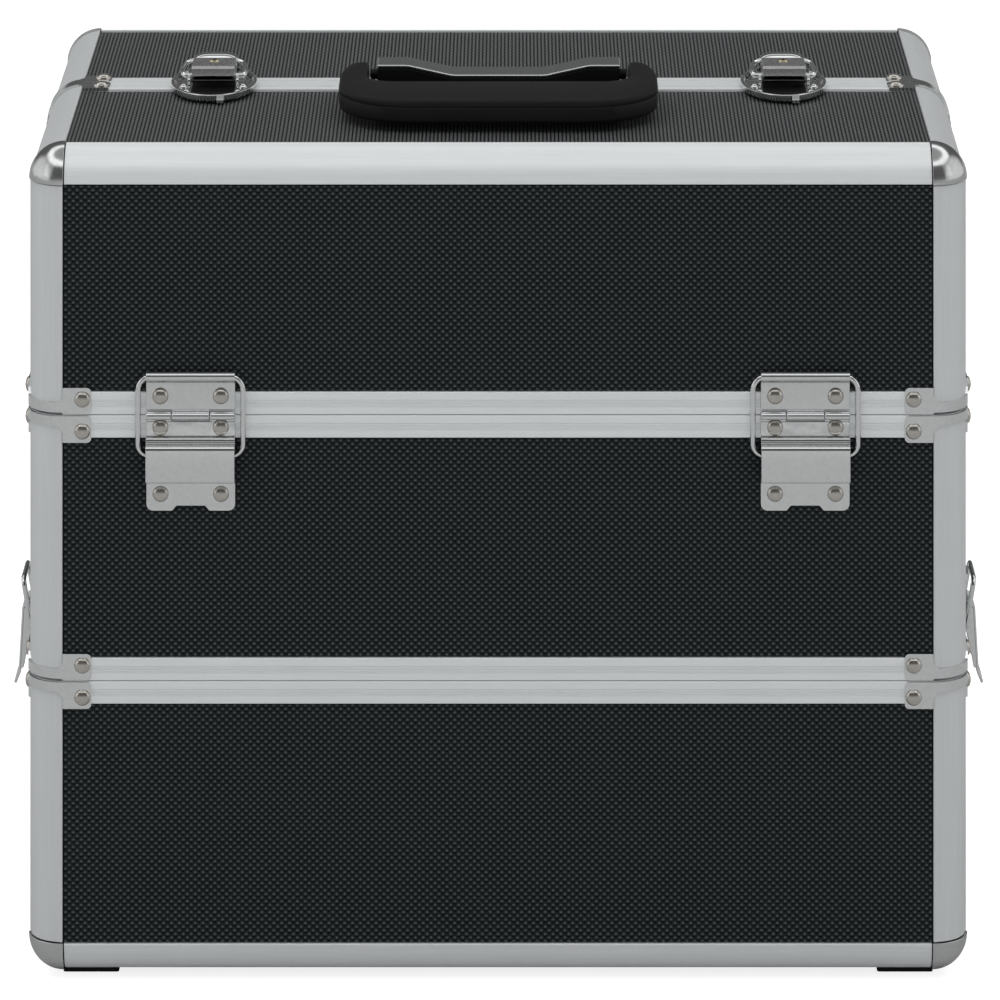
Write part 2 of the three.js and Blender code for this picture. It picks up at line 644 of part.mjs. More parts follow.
function handle() {
  const [half, rise, dip] = [COVER_HALF, 12.3, 8.3]
  const wave = (lift) => [[half, rise], [37, rise], [19, dip], [-19, dip], [-37, rise], [-half, rise]]
    .map(([x, height]) => [x, TOP + height + lift])
  const [back, front] = [-10.7, -26]
  const [pivotY, pivotZ] = [GRIP_PIVOT[0], TOP + GRIP_PIVOT[1]]
  const foundation = [[-half, TOP - 0.3], [half, TOP - 0.3], ...wave(0)]
  const base = join(
    prism('y', foundation, front, back),
    bothSides(prism('x', disc(pivotY, pivotZ, 2.5), 45, 58)),
  )
  const cover = prism('y', [...wave(GAP), ...wave(1.5).reverse()], front, back)
  const arc = ([x, y], [rx, ry], from, to) => Array.from({ length: 7 }, (_, i) => {
    const angle = ((from + ((to - from) * i) / 6) * Math.PI) / 180
    return [x + rx * Math.cos(angle), y + ry * Math.sin(angle)]
  })
  const tip = GRIP_EYE + 1
  const inside = GRIP_FRONT + GRIP_BAR
  const right = [
    [GRIP_EYE, GRIP_BACK],
    ...arc([tip, GRIP_BACK - GRIP_SHOULDER], [GRIP_HALF - tip, GRIP_SHOULDER], 90, 0),
    ...arc([GRIP_HALF - GRIP_ROUND, GRIP_FRONT + GRIP_ROUND], [GRIP_ROUND, GRIP_ROUND], 0, -90),
  ]
  const bore = [
    [GRIP_EYE, GRIP_BACK],
    [GRIP_EYE, inside + EYE_ROUND + 1],
    ...arc([GRIP_EYE - EYE_ROUND, inside + EYE_ROUND], [EYE_ROUND, EYE_ROUND], 0, -90),
  ]
  const flip = (points) => points.map(([x, y]) => [-x, y]).reverse()
  const outline = [...right, ...flip(right), ...flip(bore).reverse(), ...bore.slice().reverse()]
  const [low, high] = [pivotZ - GRIP_THICKNESS / 2, pivotZ + GRIP_THICKNESS / 2]
  const grip = cut(
    prism('z', outline, low, high)
      .intersect(prism('x', rounded([GRIP_FRONT, GRIP_BACK], [low, high], 3), -100, 100))
      .intersect(prism('y', rounded([-GRIP_HALF, GRIP_HALF], [low, high], 3), -100, 0)),
    prism('x', disc(pivotY, pivotZ, 2.9), -59, 59),
  )
  return { base, cover, grip }
}

// Trays ---------------------------------------------------------------------------------------------------

function alongArm(distance) {
  const lean = (ARM_LEAN * Math.PI) / 180
  return [ARM_PIVOT[0] + distance * Math.cos(lean), ARM_PIVOT[1] + distance * Math.sin(lean)]
}

function frontTray(level) {
  const y = [TRAY_FRONT, TRAY_FRONT + TRAY_DEPTH]
  const z = [TRAY_FLOORS[level], TRAY_FLOORS[level] + TRAY_HEIGHT]
  const hollow = block([2 - TRAY_HALF, TRAY_HALF - 2], [y[0] + 2, y[1] - 2], [z[0] + 2, z[1] + 5])
  const divider = block([-1, 1], [y[0] + 1, y[1] - 1], [z[0] + 1, z[1] - 3])
  const pin = prism('x', disc(...alongArm(ARM_HOLES[level]), 2.2), TRAY_HALF - 1, 175.9)
  return join(cut(block([-TRAY_HALF, TRAY_HALF], y, z), hollow), divider, bothSides(pin))
}

function frontArm() {
  const lean = (ARM_LEAN * Math.PI) / 180
  const end = ([y, z], from) => Array.from({ length: 7 }, (_, i) => {
    const angle = from + (i * Math.PI) / 6
    return [y + 4.8 * Math.cos(angle), z + 4.8 * Math.sin(angle)]
  })
  const foot = end(alongArm(0), lean + Math.PI / 2)
  const tip = end(alongArm(ARM_HOLES[1]), lean - Math.PI / 2)
  const holes = [0, ...ARM_HOLES].map((distance) => prism('x', disc(...alongArm(distance), 2.6), 170, 180))
  return cut(prism('x', [...foot, ...tip], ARM_INSIDE, ARM_OUTSIDE), holes)
}

// Assembly ------------------------------------------------------------------------------------------------

const armPins = allPosts(prism('x', disc(...ARM_PIVOT, 2.2), 173.5, INNER_X + 1))
const bottomWindow = [FOOT_HEIGHT + EDGE_RADIUS, LOWER_SEAM - RIM_HEIGHT]
const middleWindow = [LOWER_SEAM + RIM_HEIGHT, UPPER_SEAM - RIM_HEIGHT]

addPart('bottom_frame', 'aluminium', bottomFrame())
addPart('bottom_walls', 'board', wallBoards(FLOOR_TOP + GAP, bottomWindow[1] - GAP, bottomWindow))
addPart('bottom_floor', 'board', bottomFloor())
addPart('middle_frame', 'aluminium', middleFrame())
addPart('middle_walls', 'board', join(wallBoards(...inset(middleWindow), middleWindow), armPins))
addPart('middle_floor', 'board', prism(
  'z', rounded([GAP - INNER_X, INNER_X - GAP], [GAP - INNER_Y, INNER_Y - GAP], 3, 1), LOWER_SEAM + GAP, 127))

const lidFrame = frontLidFrame()
const lidBoards = frontLidBoards()
const feet = allPosts(foot())
const footNames = ['foot_front_right', 'foot_rear_right', 'foot_front_left', 'foot_rear_left']
footNames.forEach((name, i) => addPart(name, 'rubber', feet[i]))

const trays = [frontTray(0), frontTray(1)]
const arm = frontArm()
const leaves = { upper_leaf: upperLeaf(), lower_leaf: lowerLeaf(), ring: hingeRing() }

for (const [end, flip] of [['front', 1], ['rear', -1]]) {
  addPart(`${end}_lid_frame`, 'aluminium', mirrored(lidFrame, 1, flip))
  for (const [side, board] of Object.entries(lidBoards)) {
    addPart(`${end}_lid_${side}_board`, 'board', mirrored(board, 1, flip))
  }
  for (const [side, direction] of [['left', -1], ['right', 1]]) {
    for (const [piece, body] of Object.entries(leaves)) {
      const placed = moved(mirrored(body, 1, flip), direction * HINGE_X, 0, 0)
      addPart(`${end}_${side}_hinge_${piece}`, 'chrome', placed)
    }
    addPart(`${end}_${side}_tray_arm`, 'chrome', mirrored(arm, direction, flip))
  }
  addPart(`${end}_lower_tray`, 'lining', mirrored(trays[0], 1, flip))
  addPart(`${end}_upper_tray`, 'lining', mirrored(trays[1], 1, flip))
}

const topPieces = topLatch()
const sidePieces = sideLatch()
for (const [side, direction] of [['left', -1], ['right', 1]]) {
  for (const [piece, body] of Object.entries(topPieces)) {
    addPart(`${side}_top_latch_${piece}`, 'chrome', moved(body, direction * TOP_LATCH_X, 0, 0))
  }
  for (const [piece, body] of Object.entries(sidePieces)) {
    addPart(`${side}_side_latch_${piece}`, 'chrome', mirrored(body, direction, 1))
  }
}

const handlePieces = handle()
addPart('handle_base', 'plastic', handlePieces.base)
addPart('handle_cover', 'chrome', handlePieces.cover)
addPart('handle_grip', 'plastic', handlePieces.grip)

export default group
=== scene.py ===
"""Looks for a makeup train case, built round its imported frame.

Shapes are written in millimetres in the frame's own axes: +Z up, the front faces -Y. A shape is a pair of
lists, (points, faces), and becomes a Blender object in piece().
"""

import math

import bmesh
import bpy
from mathutils import Matrix, Vector


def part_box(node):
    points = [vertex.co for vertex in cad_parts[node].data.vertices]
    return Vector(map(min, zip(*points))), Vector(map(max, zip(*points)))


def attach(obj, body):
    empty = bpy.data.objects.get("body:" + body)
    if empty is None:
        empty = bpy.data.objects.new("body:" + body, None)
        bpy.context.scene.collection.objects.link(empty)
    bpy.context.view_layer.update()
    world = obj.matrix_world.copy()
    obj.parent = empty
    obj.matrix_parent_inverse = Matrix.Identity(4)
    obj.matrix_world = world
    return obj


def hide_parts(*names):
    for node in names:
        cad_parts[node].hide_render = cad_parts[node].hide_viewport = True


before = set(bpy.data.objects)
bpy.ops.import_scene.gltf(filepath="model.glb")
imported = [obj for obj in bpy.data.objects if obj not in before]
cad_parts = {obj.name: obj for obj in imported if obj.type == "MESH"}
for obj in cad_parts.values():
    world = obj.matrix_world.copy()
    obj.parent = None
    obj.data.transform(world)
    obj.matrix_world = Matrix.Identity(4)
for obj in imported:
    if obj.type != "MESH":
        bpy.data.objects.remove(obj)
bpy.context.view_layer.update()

MM = 0.001


def edge(node, side, axis):
    """One coordinate of a node's box in millimetres; side 0 is its lowest corner and 1 its highest."""
    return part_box(node)[side]["xyz".index(axis)] / MM


def middle(node, axis):
    return (edge(node, 0, axis) + edge(node, 1, axis)) / 2


def corners_of(node):
    """Lowest and highest corner of a node's box, in millimetres."""
    low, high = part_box(node)
    return low / MM, high / MM


# Case body, read from the frame
RECESS = 0.6
SEAM_GAP = 0.15
HALF_WIDTH = edge("bottom_walls", 1, "x") + RECESS
HALF_DEPTH = edge("bottom_walls", 1, "y") + RECESS
BASE = edge("bottom_floor", 0, "z") - RECESS
LOWER_SEAM = edge("middle_frame", 0, "z") - SEAM_GAP
UPPER_SEAM = edge("middle_frame", 1, "z") + SEAM_GAP
TOP = edge("front_lid_top_board", 1, "z") + RECESS
FLOOR_TOP = edge("bottom_floor", 1, "z")

# Aluminium profiles
RADIUS = 13.4
SHELL = 2.2
RIM = 9.0
RIM_PROUD = 0.5
SPLIT_RIM = 10.0
WALL = 8.0
LINING = 3.5
JOINT = 0.35
LINING_GAP = 0.3
CLOTH_INSET = 0.4
CORE_GAP = 0.1
PROFILE_LIP = 0.28
PROFILE_EASE = 0.18
RIDGES = 5
RIDGE_PITCH = 0.66
GROOVE = 0.26
BOARD_EASE = 0.35
INNER_X = HALF_WIDTH - WALL
INNER_Y = HALF_DEPTH - WALL
WINDOW_X = HALF_WIDTH - RADIUS
WINDOW_Y = HALF_DEPTH - RADIUS

# Pressed steel
CAP_PROUD = 0.8
CAP_ARM = 0.2
CAP_SHEET = 1.0
CAP_EASE = 0.25
CAP_GAP = CAP_ARM + JOINT
BRACKET_PROUD = 1.1
BRACKET_EDGE = 0.35
BRACKET_EASE = 0.3
PLATE_BACK = 0.8
PLATE_FRONT = 2.0
LOBE = 11.4
LOBE_HEIGHT = 10.8
BAND_HEIGHT = 5.0
WEDGE = 0.7
RIVET_INSET = 21.3
RIVET = 3.2
RIVET_DOME = 1.5
SEAM_RIVET = 6.3
SPLIT_RIVET = 7.0

# Hinges
HINGE_X = middle("front_right_hinge_upper_leaf", "x")
HINGE_HALF = 17.5
BARREL_OUT = 3.0
BARREL_RISE = 0.3
BARREL = 1.6
POCKET_OUT = 7.2
KNUCKLE = 7.4
KNUCKLE_GAP = 0.3
RING_OUT = 2.8
RING_TOP = 15.8
RING_BOTTOM = -15.2
RING_HALF = 20.7
RING_WIRE = 1.1
HINGE_RIVET_X = 11.9

# Latches and handle
TOP_LATCH_X = middle("right_top_latch_base", "x")
GRIP_HALF = edge("handle_grip", 1, "x")
GRIP_BACK = edge("handle_grip", 1, "y")
GRIP_FRONT = edge("handle_grip", 0, "y")
GRIP_LOW = edge("handle_grip", 0, "z")
GRIP_HIGH = edge("handle_grip", 1, "z")
GRIP_EYE = 53.2
GRIP_BAR = 35.0
GRIP_ROUND = 30.0
EYE_ROUND = 11.0
SHOULDER = 28.0
COVER_HALF = 49.6
COVER_BACK = -10.7
COVER_FRONT = -26.0
TOP_LEVER_HALF = 8.75
SIDE_LEVER_HALF = 8.7
CHEEK = 7.9
BAIL_WIRE = 1.05

# Trays and their arms
TRAY_HALF = 172.0
TRAY_WALL = 1.8
TRAY_DIVIDERS = (-86, 0, 86)
ARM_INSET = 4.8
ARM_HALF = 4.6
LOWER_TRAY_SHARE = 42.1 / 85.2

SIDES = {"left": -1, "right": 1}
ENDS = {"front": 1, "rear": -1}


# Shapes -------------------------------------------------------------------------------------------------


def sweep(profile, stations, loop=False):
    """Sweeps a closed outline along stations, each an origin and the two axes its outline is drawn on."""
    points = []
    for origin, u, v in stations:
        points += [origin + u * a + v * b for a, b in profile]
    return skin(points, len(profile), len(stations), loop)


def skin(points, size, count, loop=False):
    """Joins rings of equally many points into a closed body."""
    faces = []
    for i in range(count if loop else count - 1):
        a, b = i * size, (i + 1) % count * size
        faces += [(a + k, a + (k + 1) % size, b + (k + 1) % size, b + k) for k in range(size)]
    if not loop:
        faces.append(tuple(range(size)))
        faces.append(tuple(range((count - 1) * size, count * size)))
    return points, faces


AXES = {
    "x": (Vector((0, 1, 0)), Vector((0, 0, 1)), Vector((1, 0, 0))),
    "y": (Vector((1, 0, 0)), Vector((0, 0, 1)), Vector((0, 1, 0))),
    "z": (Vector((1, 0, 0)), Vector((0, 1, 0)), Vector((0, 0, 1))),
}


def extrude(axis, outline, low, high):
    """Outlines are (y, z) along x, (x, z) along y and (x, y) along z."""
    u, v, along = AXES[axis]
    return sweep([tuple(p) for p in outline], [(along * low, u, v), (along * high, u, v)])


def bent(points, radius, loop=True, steps=5):
    """The same path with each bend rounded off; radius is one number or one for each point."""
    count = len(points)
    radii = radius if isinstance(radius, (list, tuple)) else [radius] * count
    result = []
    for i, point in enumerate(points):
        here = Vector(point)
        if radii[i] == 0 or (not loop and i in (0, count - 1)):
            result.append(here)
            continue
        back = (Vector(points[i - 1]) - here).normalized()
        ahead = (Vector(points[(i + 1) % count]) - here).normalized()
        half = back.angle(ahead) / 2
        centre = here + (back + ahead).normalized() * (radii[i] / math.sin(half))
        start = here + back * (radii[i] / math.tan(half)) - centre
        end = here + ahead * (radii[i] / math.tan(half)) - centre
        across = (end - start * (start.dot(end) / start.length_squared)).normalized() * start.length
        turn = start.angle(end)
        for k in range(steps + 1):
            angle = turn * k / steps
            result.append(centre + start * math.cos(angle) + across * math.sin(angle))
    return result


def rounded(x, y, radius):
    return bent([(x[0], y[0]), (x[1], y[0]), (x[1], y[1]), (x[0], y[1])], radius)


def circle(u, v, radius, sides=24):
    turns = [2 * math.pi * i / sides for i in range(sides)]
    return [(u + radius * math.cos(a), v + radius * math.sin(a)) for a in turns]


def arc(u, v, radius, degrees):
    return [(u + radius * math.cos(a), v + radius * math.sin(a)) for a in map(math.radians, degrees)]


def box(x, y, z):
    return extrude("z", [(x[0], y[0]), (x[1], y[0]), (x[1], y[1]), (x[0], y[1])], *z)


def wire(path, radius, normal, loop=False, sides=14):
    """Round wire along a path that lies in one plane."""
    points = [Vector(p) for p in path]
    up = Vector(normal)
    count = len(points)
    stations = []
    for i, point in enumerate(points):
        back = points[i - 1] if loop or i > 0 else point
        ahead = points[(i + 1) % count] if loop or i < count - 1 else point
        along = ((point - back).normalized() + (ahead - point).normalized()).normalized()
        stations.append((point, up.cross(along) * radius, up * radius))
    return sweep(circle(0, 0, 1, sides), stations, loop)


def lathe(profile, place, facing, steps=24):
    """Turns a profile of (radius, height) round an axis that starts at place and points along facing."""
    turn = Vector((0, 0, 1)).rotation_difference(Vector(facing)).to_matrix().to_4x4()
    matrix = Matrix.Translation(place) @ turn
    points = []
    for i in range(steps):
        angle = 2 * math.pi * i / steps
        ring = [Vector((r * math.cos(angle), r * math.sin(angle), h)) for r, h in profile]
        points += [matrix @ p for p in ring]
    return skin(points, len(profile), steps, loop=True)


def moved(shape, x):
    return [p + Vector((x, 0, 0)) for p in shape[0]], shape[1]


def flipped(shape, x, y):
    return [Vector((p.x * x, p.y * y, p.z)) for p in shape[0]], shape[1]


def both(shape):
    return [shape, flipped(shape, -1, 1)]


# Finishes -----------------------------------------------------------------------------------------------


class Nodes:
    """Adds shader nodes to a tree and wires up their inputs."""

    def __init__(self, tree):
        self.tree = tree

    def add(self, kind, inputs=None, **settings):
        node = self.tree.nodes.new(kind)
        for key, value in settings.items():
            setattr(node, key, value)
        for key, value in (inputs or {}).items():
            self.feed(node.inputs[key], value)
        return node

    def feed(self, socket, value):
        if isinstance(value, bpy.types.NodeSocket):
            self.tree.links.new(value, socket)
        else:
            socket.default_value = value


class Shader(Nodes):
    """A Principled material whose inputs are wired up from small procedural steps."""

    def __init__(self, name):
        self.material = bpy.data.materials.new(name)
        self.material.use_nodes = True
        super().__init__(self.material.node_tree)
        self.surface = self.tree.nodes["Principled BSDF"]
        self.object_space = self.add("ShaderNodeTexCoord").outputs["Object"]

    def math(self, operation, a, b=0.0):
        return self.add("ShaderNodeMath", {0: a, 1: b}, operation=operation).outputs[0]

    def vector(self, operation, a, b=(0, 0, 0)):
        node = self.add("ShaderNodeVectorMath", {0: a, 1: b}, operation=operation)
        return node.outputs["Value" if operation == "LENGTH" else "Vector"]

    def noise(self, scale, detail=3.0, stretch=(1, 1, 1)):
        spot = self.vector("MULTIPLY", self.object_space, stretch)
        node = self.add("ShaderNodeTexNoise", {"Vector": spot, "Scale": scale, "Detail": detail})
        return node.outputs["Fac"]

    def span(self, value, low, high):
        node = self.add("ShaderNodeMapRange", {"Value": value, "To Min": low, "To Max": high})
        return node.outputs["Result"]

    def blend(self, factor, a, b):
        node = self.add("ShaderNodeMix", data_type="RGBA")
        self.feed(node.inputs[0], factor)
        self.feed(node.inputs[6], a)
        self.feed(node.inputs[7], b)
        return node.outputs[2]

    def bump(self, height, depth, strength=1.0, below=None):
        inputs = {"Height": height, "Distance": depth * MM, "Strength": strength}
        if below is not None:
            inputs["Normal"] = below
        return self.add("ShaderNodeBump", inputs).outputs["Normal"]

    def set(self, **inputs):
        for key, value in inputs.items():
            self.feed(self.surface.inputs[key.replace("_", " ")], value)
        return self.material


def opaque(colour, tone=1.0):
    """A node colour from red, green and blue, each multiplied by tone."""
    return tuple(tone * c for c in colour) + (1,)


def aluminium(name, grain, tone):
    """Satin anodised profile with fine drawing lines along the grain axis."""
    s = Shader(name + "_" + grain)
    stretch = {"x": (0.012, 1, 1), "y": (1, 0.012, 1), "z": (1, 1, 0.012)}[grain]
    lines = s.noise(2600, 4, stretch)
    clouds = s.noise(35, 2)
    dark, light, cloudy = [
        opaque(colour, tone) for colour in ((0.62, 0.645, 0.65), (0.76, 0.78, 0.785), (0.60, 0.62, 0.63))]
    shade = s.blend(s.span(clouds, 0.0, 0.35), s.blend(s.span(lines, 0.0, 1.0), dark, light), cloudy)
    rough = s.math("ADD", s.span(lines, 0.40, 0.54), s.span(clouds, -0.04, 0.05))
    return s.set(Base_Color=shade, Metallic=0.35, Roughness=rough, Normal=s.bump(lines, 0.02, 0.35))


def chrome(name, tint, rough, dents=0.25):
    """Bright plated steel, slightly wavy, with worn patches that reflect less sharply."""
    s = Shader(name)
    waves = s.noise(90, 2)
    scuffs = s.noise(700, 5, (1, 0.3, 1))
    wear = s.span(scuffs, 0.0, 1.0)
    rough_out = s.math("ADD", s.span(wear, rough * 0.6, rough * 1.6), s.span(waves, -0.02, 0.04))
    bump = s.bump(waves, dents, 0.35)
    shade = s.blend(wear, opaque(tint), opaque(tint, 0.82))
    return s.set(Base_Color=shade, Metallic=1.0, Roughness=rough_out, Normal=bump)


# Colours of the gaps between the domes and of the dome tops, each from duller to brighter. The lighter tops
# are a painted highlight; the level board's darker gaps and brighter tops are painted light for its low-angle
# glints.
UPRIGHT_PAINTED_TONES = (((0.0112, 0.0146, 0.0152), (0.0164, 0.021, 0.0217)),
                 ((0.062, 0.073, 0.075), (0.10, 0.116, 0.118)))
LEVEL_PAINTED_TONES = (((0.0035, 0.004, 0.0042), (0.006, 0.0068, 0.007)),
               ((0.125, 0.129, 0.131), (0.19, 0.197, 0.20)))


def dimpled(plane):
    """Black laminated board embossed with staggered domes; plane names the two axes it lies in.

    The domes stand up from the board, so at a low angle each one covers more of the board behind it. That is
    drawn by looking the domes up at three heights along the line of sight. The dome tops carry a painted
    highlight, and upright boards carry a painted shadow: a dark patch under each dome, as if lit from above.
    """
    pitch, rows, rise, shadow = 3.1 * MM, 2.86 * MM, 0.34 * MM, 1.0 * MM
    dome = (0.70 * MM, 0.57 * MM)
    level = plane == "xy"
    s = Shader("dimpled_board_" + plane)

    def split(vector):
        outputs = s.add("ShaderNodeSeparateXYZ", {0: vector}).outputs
        return {axis: outputs[axis.upper()] for axis in "xyz"}

    def pair(a, b):
        return s.add("ShaderNodeCombineXYZ", {0: a, 1: b, 2: 1.0}).outputs[0]

    def domes(spot):
        found = []
        for shift in (0.0, 0.5):
            cell = s.vector("ADD", s.vector("DIVIDE", spot, (pitch, rows, 1)), (shift, shift, 0))
            local = s.vector("SUBTRACT", s.vector("FRACTION", cell), (0.5, 0.5, 0))
            reach = s.vector("LENGTH", s.vector("MULTIPLY", local, (pitch / dome[0], rows / dome[1], 0)))
            found.append(s.math("MAXIMUM", s.math("SUBTRACT", 1.0, s.math("MULTIPLY", reach, reach)), 0.0))
        return s.math("MAXIMUM", *found)

    incoming = s.add("ShaderNodeNewGeometry").outputs["Incoming"]
    sight = split(s.add("ShaderNodeVectorTransform", {0: incoming}, vector_type="VECTOR",
                        convert_from="WORLD", convert_to="OBJECT").outputs[0])
    here = split(s.object_space)
    flat = pair(here[plane[0]], here[plane[1]])
    normal = next(axis for axis in "xyz" if axis not in plane)
    steep = s.math("MAXIMUM", s.math("ABSOLUTE", sight[normal]), 0.15)
    lean = s.vector("DIVIDE", pair(sight[plane[0]], sight[plane[1]]), pair(steep, steep))
    height = domes(flat)
    cover = height
    for share in (0.5, 1.0):
        spot = s.vector("ADD", flat, s.vector("MULTIPLY", lean, (rise * share, rise * share, 0)))
        cover = s.math("MAXIMUM", cover, domes(spot))
    haze = s.noise(60, 3)
    fleck = s.noise(2200, 3)
    gaps, tops = [[opaque(tone) for tone in tones] for tones in (LEVEL_PAINTED_TONES if level else UPRIGHT_PAINTED_TONES)]
    base = s.blend(s.span(haze, 0.0, 1.0), *gaps)
    # Painted shadow: a dark patch under each dome of an upright board, as if lit from above.
    if not level:
        base = s.blend(domes(s.vector("ADD", flat, (0, shadow, 0))), base, (0.001, 0.0015, 0.0015, 1))
    # Painted highlight: the lighter dome-top colours, laid on where the domes cover the board.
    painted_highlight = s.blend(s.span(fleck, 0.0, 1.0), *tops)
    rough = s.math("ADD", s.span(fleck, 0.38, 0.52), s.span(haze, -0.04, 0.04))
    return s.set(
        Base_Color=s.blend(cover, base, painted_highlight), Roughness=rough, Normal=s.bump(height, 0.25, 0.8),
        Specular_IOR_Level=s.span(cover, 0.06, 0.2))


def fabric():
    """Flocked lining cloth."""
    s = Shader("lining_cloth")
    weave = s.noise(3200, 2)
    nap = s.noise(140, 3)
    colour = s.blend(s.span(nap, 0.0, 1.0), (0.012, 0.012, 0.014, 1), (0.028, 0.028, 0.032, 1))
    bump = s.bump(weave, 0.25, 0.7)
    return s.set(Base_Color=colour, Roughness=0.95, Normal=bump, Sheen_Weight=0.35, Specular_IOR_Level=0.15)


def moulded(name, colour, rough, grain):
    """Moulded plastic or rubber with a fine spark-eroded grain."""
    s = Shader(name)
    fine = s.noise(grain, 3)
    broad = s.noise(45, 2)
    light = opaque([c * 1.7 + 0.002 for c in colour])
    shade = s.blend(s.span(broad, 0.1, 0.7), opaque(colour), light)
    rough_out = s.math("ADD", s.span(fine, rough - 0.06, rough + 0.06), s.span(broad, -0.03, 0.03))
    bump = s.bump(fine, 0.08, 0.45)
    return s.set(Base_Color=shade, Roughness=rough_out, Normal=bump, Specular_IOR_Level=0.14)


# Painted light: the profiles that run along x, such as the top rail across the front, are made 1.15 times
# lighter to stand in for the brighter light they catch.
ALUMINIUM = {axis: aluminium("aluminium", axis, 1.15 if axis == "x" else 1.0) for axis in "xyz"}
RIM_ALUMINIUM = {axis: aluminium("ridged_aluminium", axis, 1.22) for axis in "xyz"}
CHROME = chrome("chromed_steel", (0.80, 0.815, 0.82), 0.07)
BALL_CHROME = chrome("pressed_chrome", (0.70, 0.705, 0.71), 0.06)
SATIN = chrome("satin_steel", (0.74, 0.745, 0.75), 0.26)
CAP_CHROME = chrome("ball_corner_chrome", (0.66, 0.665, 0.67), 0.15, 0.9)
NICKEL = chrome("nickel_rivet", (0.60, 0.575, 0.53), 0.2, 0.6)
DARK_STEEL = chrome("blackened_steel", (0.16, 0.16, 0.165), 0.2)
BRASS = chrome("brass_lock", (0.84, 0.75, 0.50), 0.2)
BOARD = {plane: dimpled(plane) for plane in ("xz", "yz", "xy")}
CLOTH = fabric()
GRIP_PLASTIC = moulded("handle_plastic", (0.0062, 0.0062, 0.0066), 0.5, 2600)
INSERT_PLASTIC = moulded("insert_plastic", (0.004, 0.004, 0.0045), 0.4, 1800)
TRAY_PLASTIC = moulded("tray_plastic", (0.013, 0.013, 0.014), 0.5, 1500)
RUBBER = moulded("rubber", (0.009, 0.009, 0.009), 0.8, 1200)


# Pieces -------------------------------------------------------------------------------------------------


def add_object(name, data):
    obj = bpy.data.objects.new(name, data)
    bpy.context.scene.collection.objects.link(obj)
    return obj


def piece(name, body, slot, finish, shapes, stands_for=(), bevel=0.0, segments=2, thickness=0.0):
    """Makes one object from shapes in millimetres and puts it on its body."""
    points, faces = [], []
    for shape in shapes:
        start = len(points)
        points += shape[0]
        faces += [tuple(start + k for k in face) for face in shape[1]]
    mesh = bpy.data.meshes.new(name)
    mesh.from_pydata([Vector(p) * MM for p in points], [], faces)
    work = bmesh.new()
    work.from_mesh(mesh)
    bmesh.ops.remove_doubles(work, verts=work.verts, dist=0.002 * MM)
    bmesh.ops.dissolve_degenerate(work, edges=work.edges, dist=0.001 * MM)
    bmesh.ops.recalc_face_normals(work, faces=work.faces)
    work.to_mesh(mesh)
    work.free()
    mesh.polygons.foreach_set("use_smooth", [True] * len(mesh.polygons))
    mesh.materials.append(finish)
    obj = add_object(name, mesh)
    if thickness:
        shell = obj.modifiers.new("thickness", "SOLIDIFY")
        shell.thickness = thickness * MM
        shell.offset = -1
        shell.use_even_offset = True
    if bevel:
        soft = obj.modifiers.new("soft_edges", "BEVEL")
        soft.width = bevel * MM
        soft.segments = segments
        soft.limit_method = "ANGLE"
        soft.angle_limit = math.radians(32)
        soft.harden_normals = True
    elif not thickness:
        mesh.set_sharp_from_angle(angle=math.radians(32))
    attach(obj, body)
    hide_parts(*stands_for)


def fittings(prefix, place):
    """Maker of pieces that share a name prefix and are put in place together.

    It takes a CAD node's name without the prefix. Its slot argument, chromed steel unless given, is not used.
    """
    def put(name, body, finish, shapes, node="", slot="chromed_steel", **options):
        stands_for = (prefix + node,) if node else ()
        piece(prefix + name, body, slot, finish, [place(shape) for shape in shapes], stands_for, **options)

    return put


def rivet(place, facing):
    """Domed head standing on a face."""
    flange = 0.3
    dome = [(RIVET * 0.97 * math.cos(t), flange + RIVET_DOME * math.sin(t)) for t in (
        k * math.pi / 18 for k in range(9))]
    base = [(0, -2 * flange), (RIVET, -2 * flange), (RIVET, 0.1)]
    return lathe(base + dome + [(0, flange + RIVET_DOME)], place, facing)


# Corner coordinates: (a, b) is measured outwards from the two faces that meet at a rounded edge.


def profile_section():
    """Quarter-round profile with a raised lip along each board."""
    lip = [(0.0, -RADIUS), (PROFILE_LIP, -RADIUS + 0.2), (PROFILE_LIP, -RADIUS + 0.8), (-0.02, -RADIUS + 1.5)]
    outer, inner = [], []
    for k in range(1, 16):
        angle = math.radians(6 + 78 * k / 16)
        outer.append((RADIUS * (math.cos(angle) - 1), RADIUS * (math.sin(angle) - 1)))
    for k in range(9):
        angle = math.pi / 2 - k * math.pi / 16
        c, s = math.cos(angle), math.sin(angle)
        inner.append((RADIUS * (c - 1) - SHELL * c, RADIUS * (s - 1) - SHELL * s))
    return lip + outer + [(b, a) for a, b in reversed(lip)] + inner


def post(low, high):
    """Upright profile at the front right corner."""
    section = [(HALF_WIDTH + a, -HALF_DEPTH - b) for a, b in profile_section()]
    return extrude("z", section, low, high)


def rail(axis, low, high, level, up):
    """Profile along the top (up 1) or bottom (up -1) edge: along x at the front, along y on the right."""
    half = HALF_DEPTH if axis == "x" else HALF_WIDTH
    facing = -1 if axis == "x" else 1
    section = [(facing * (half + a), level + up * b) for a, b in profile_section()]
    return extrude(axis, section, low, high)


def ridged(height):
    """Outside of a rim of that height, as (height, out) points with a band of fine ridges in its middle."""
    crest, valley, ease = RIM_PROUD, RIM_PROUD - GROOVE, 0.25
    start = height * 0.52 - RIDGES * RIDGE_PITCH / 2
    line = [(0.0, crest - ease), (ease, crest)]
    for k in range(RIDGES):
        low = start + k * RIDGE_PITCH
        line += [(low, crest), (low + 0.08, valley), (low + 0.18, valley), (low + 0.26, crest)]
    return line + [(start + RIDGES * RIDGE_PITCH, crest), (height - ease, crest), (height, crest - ease)]


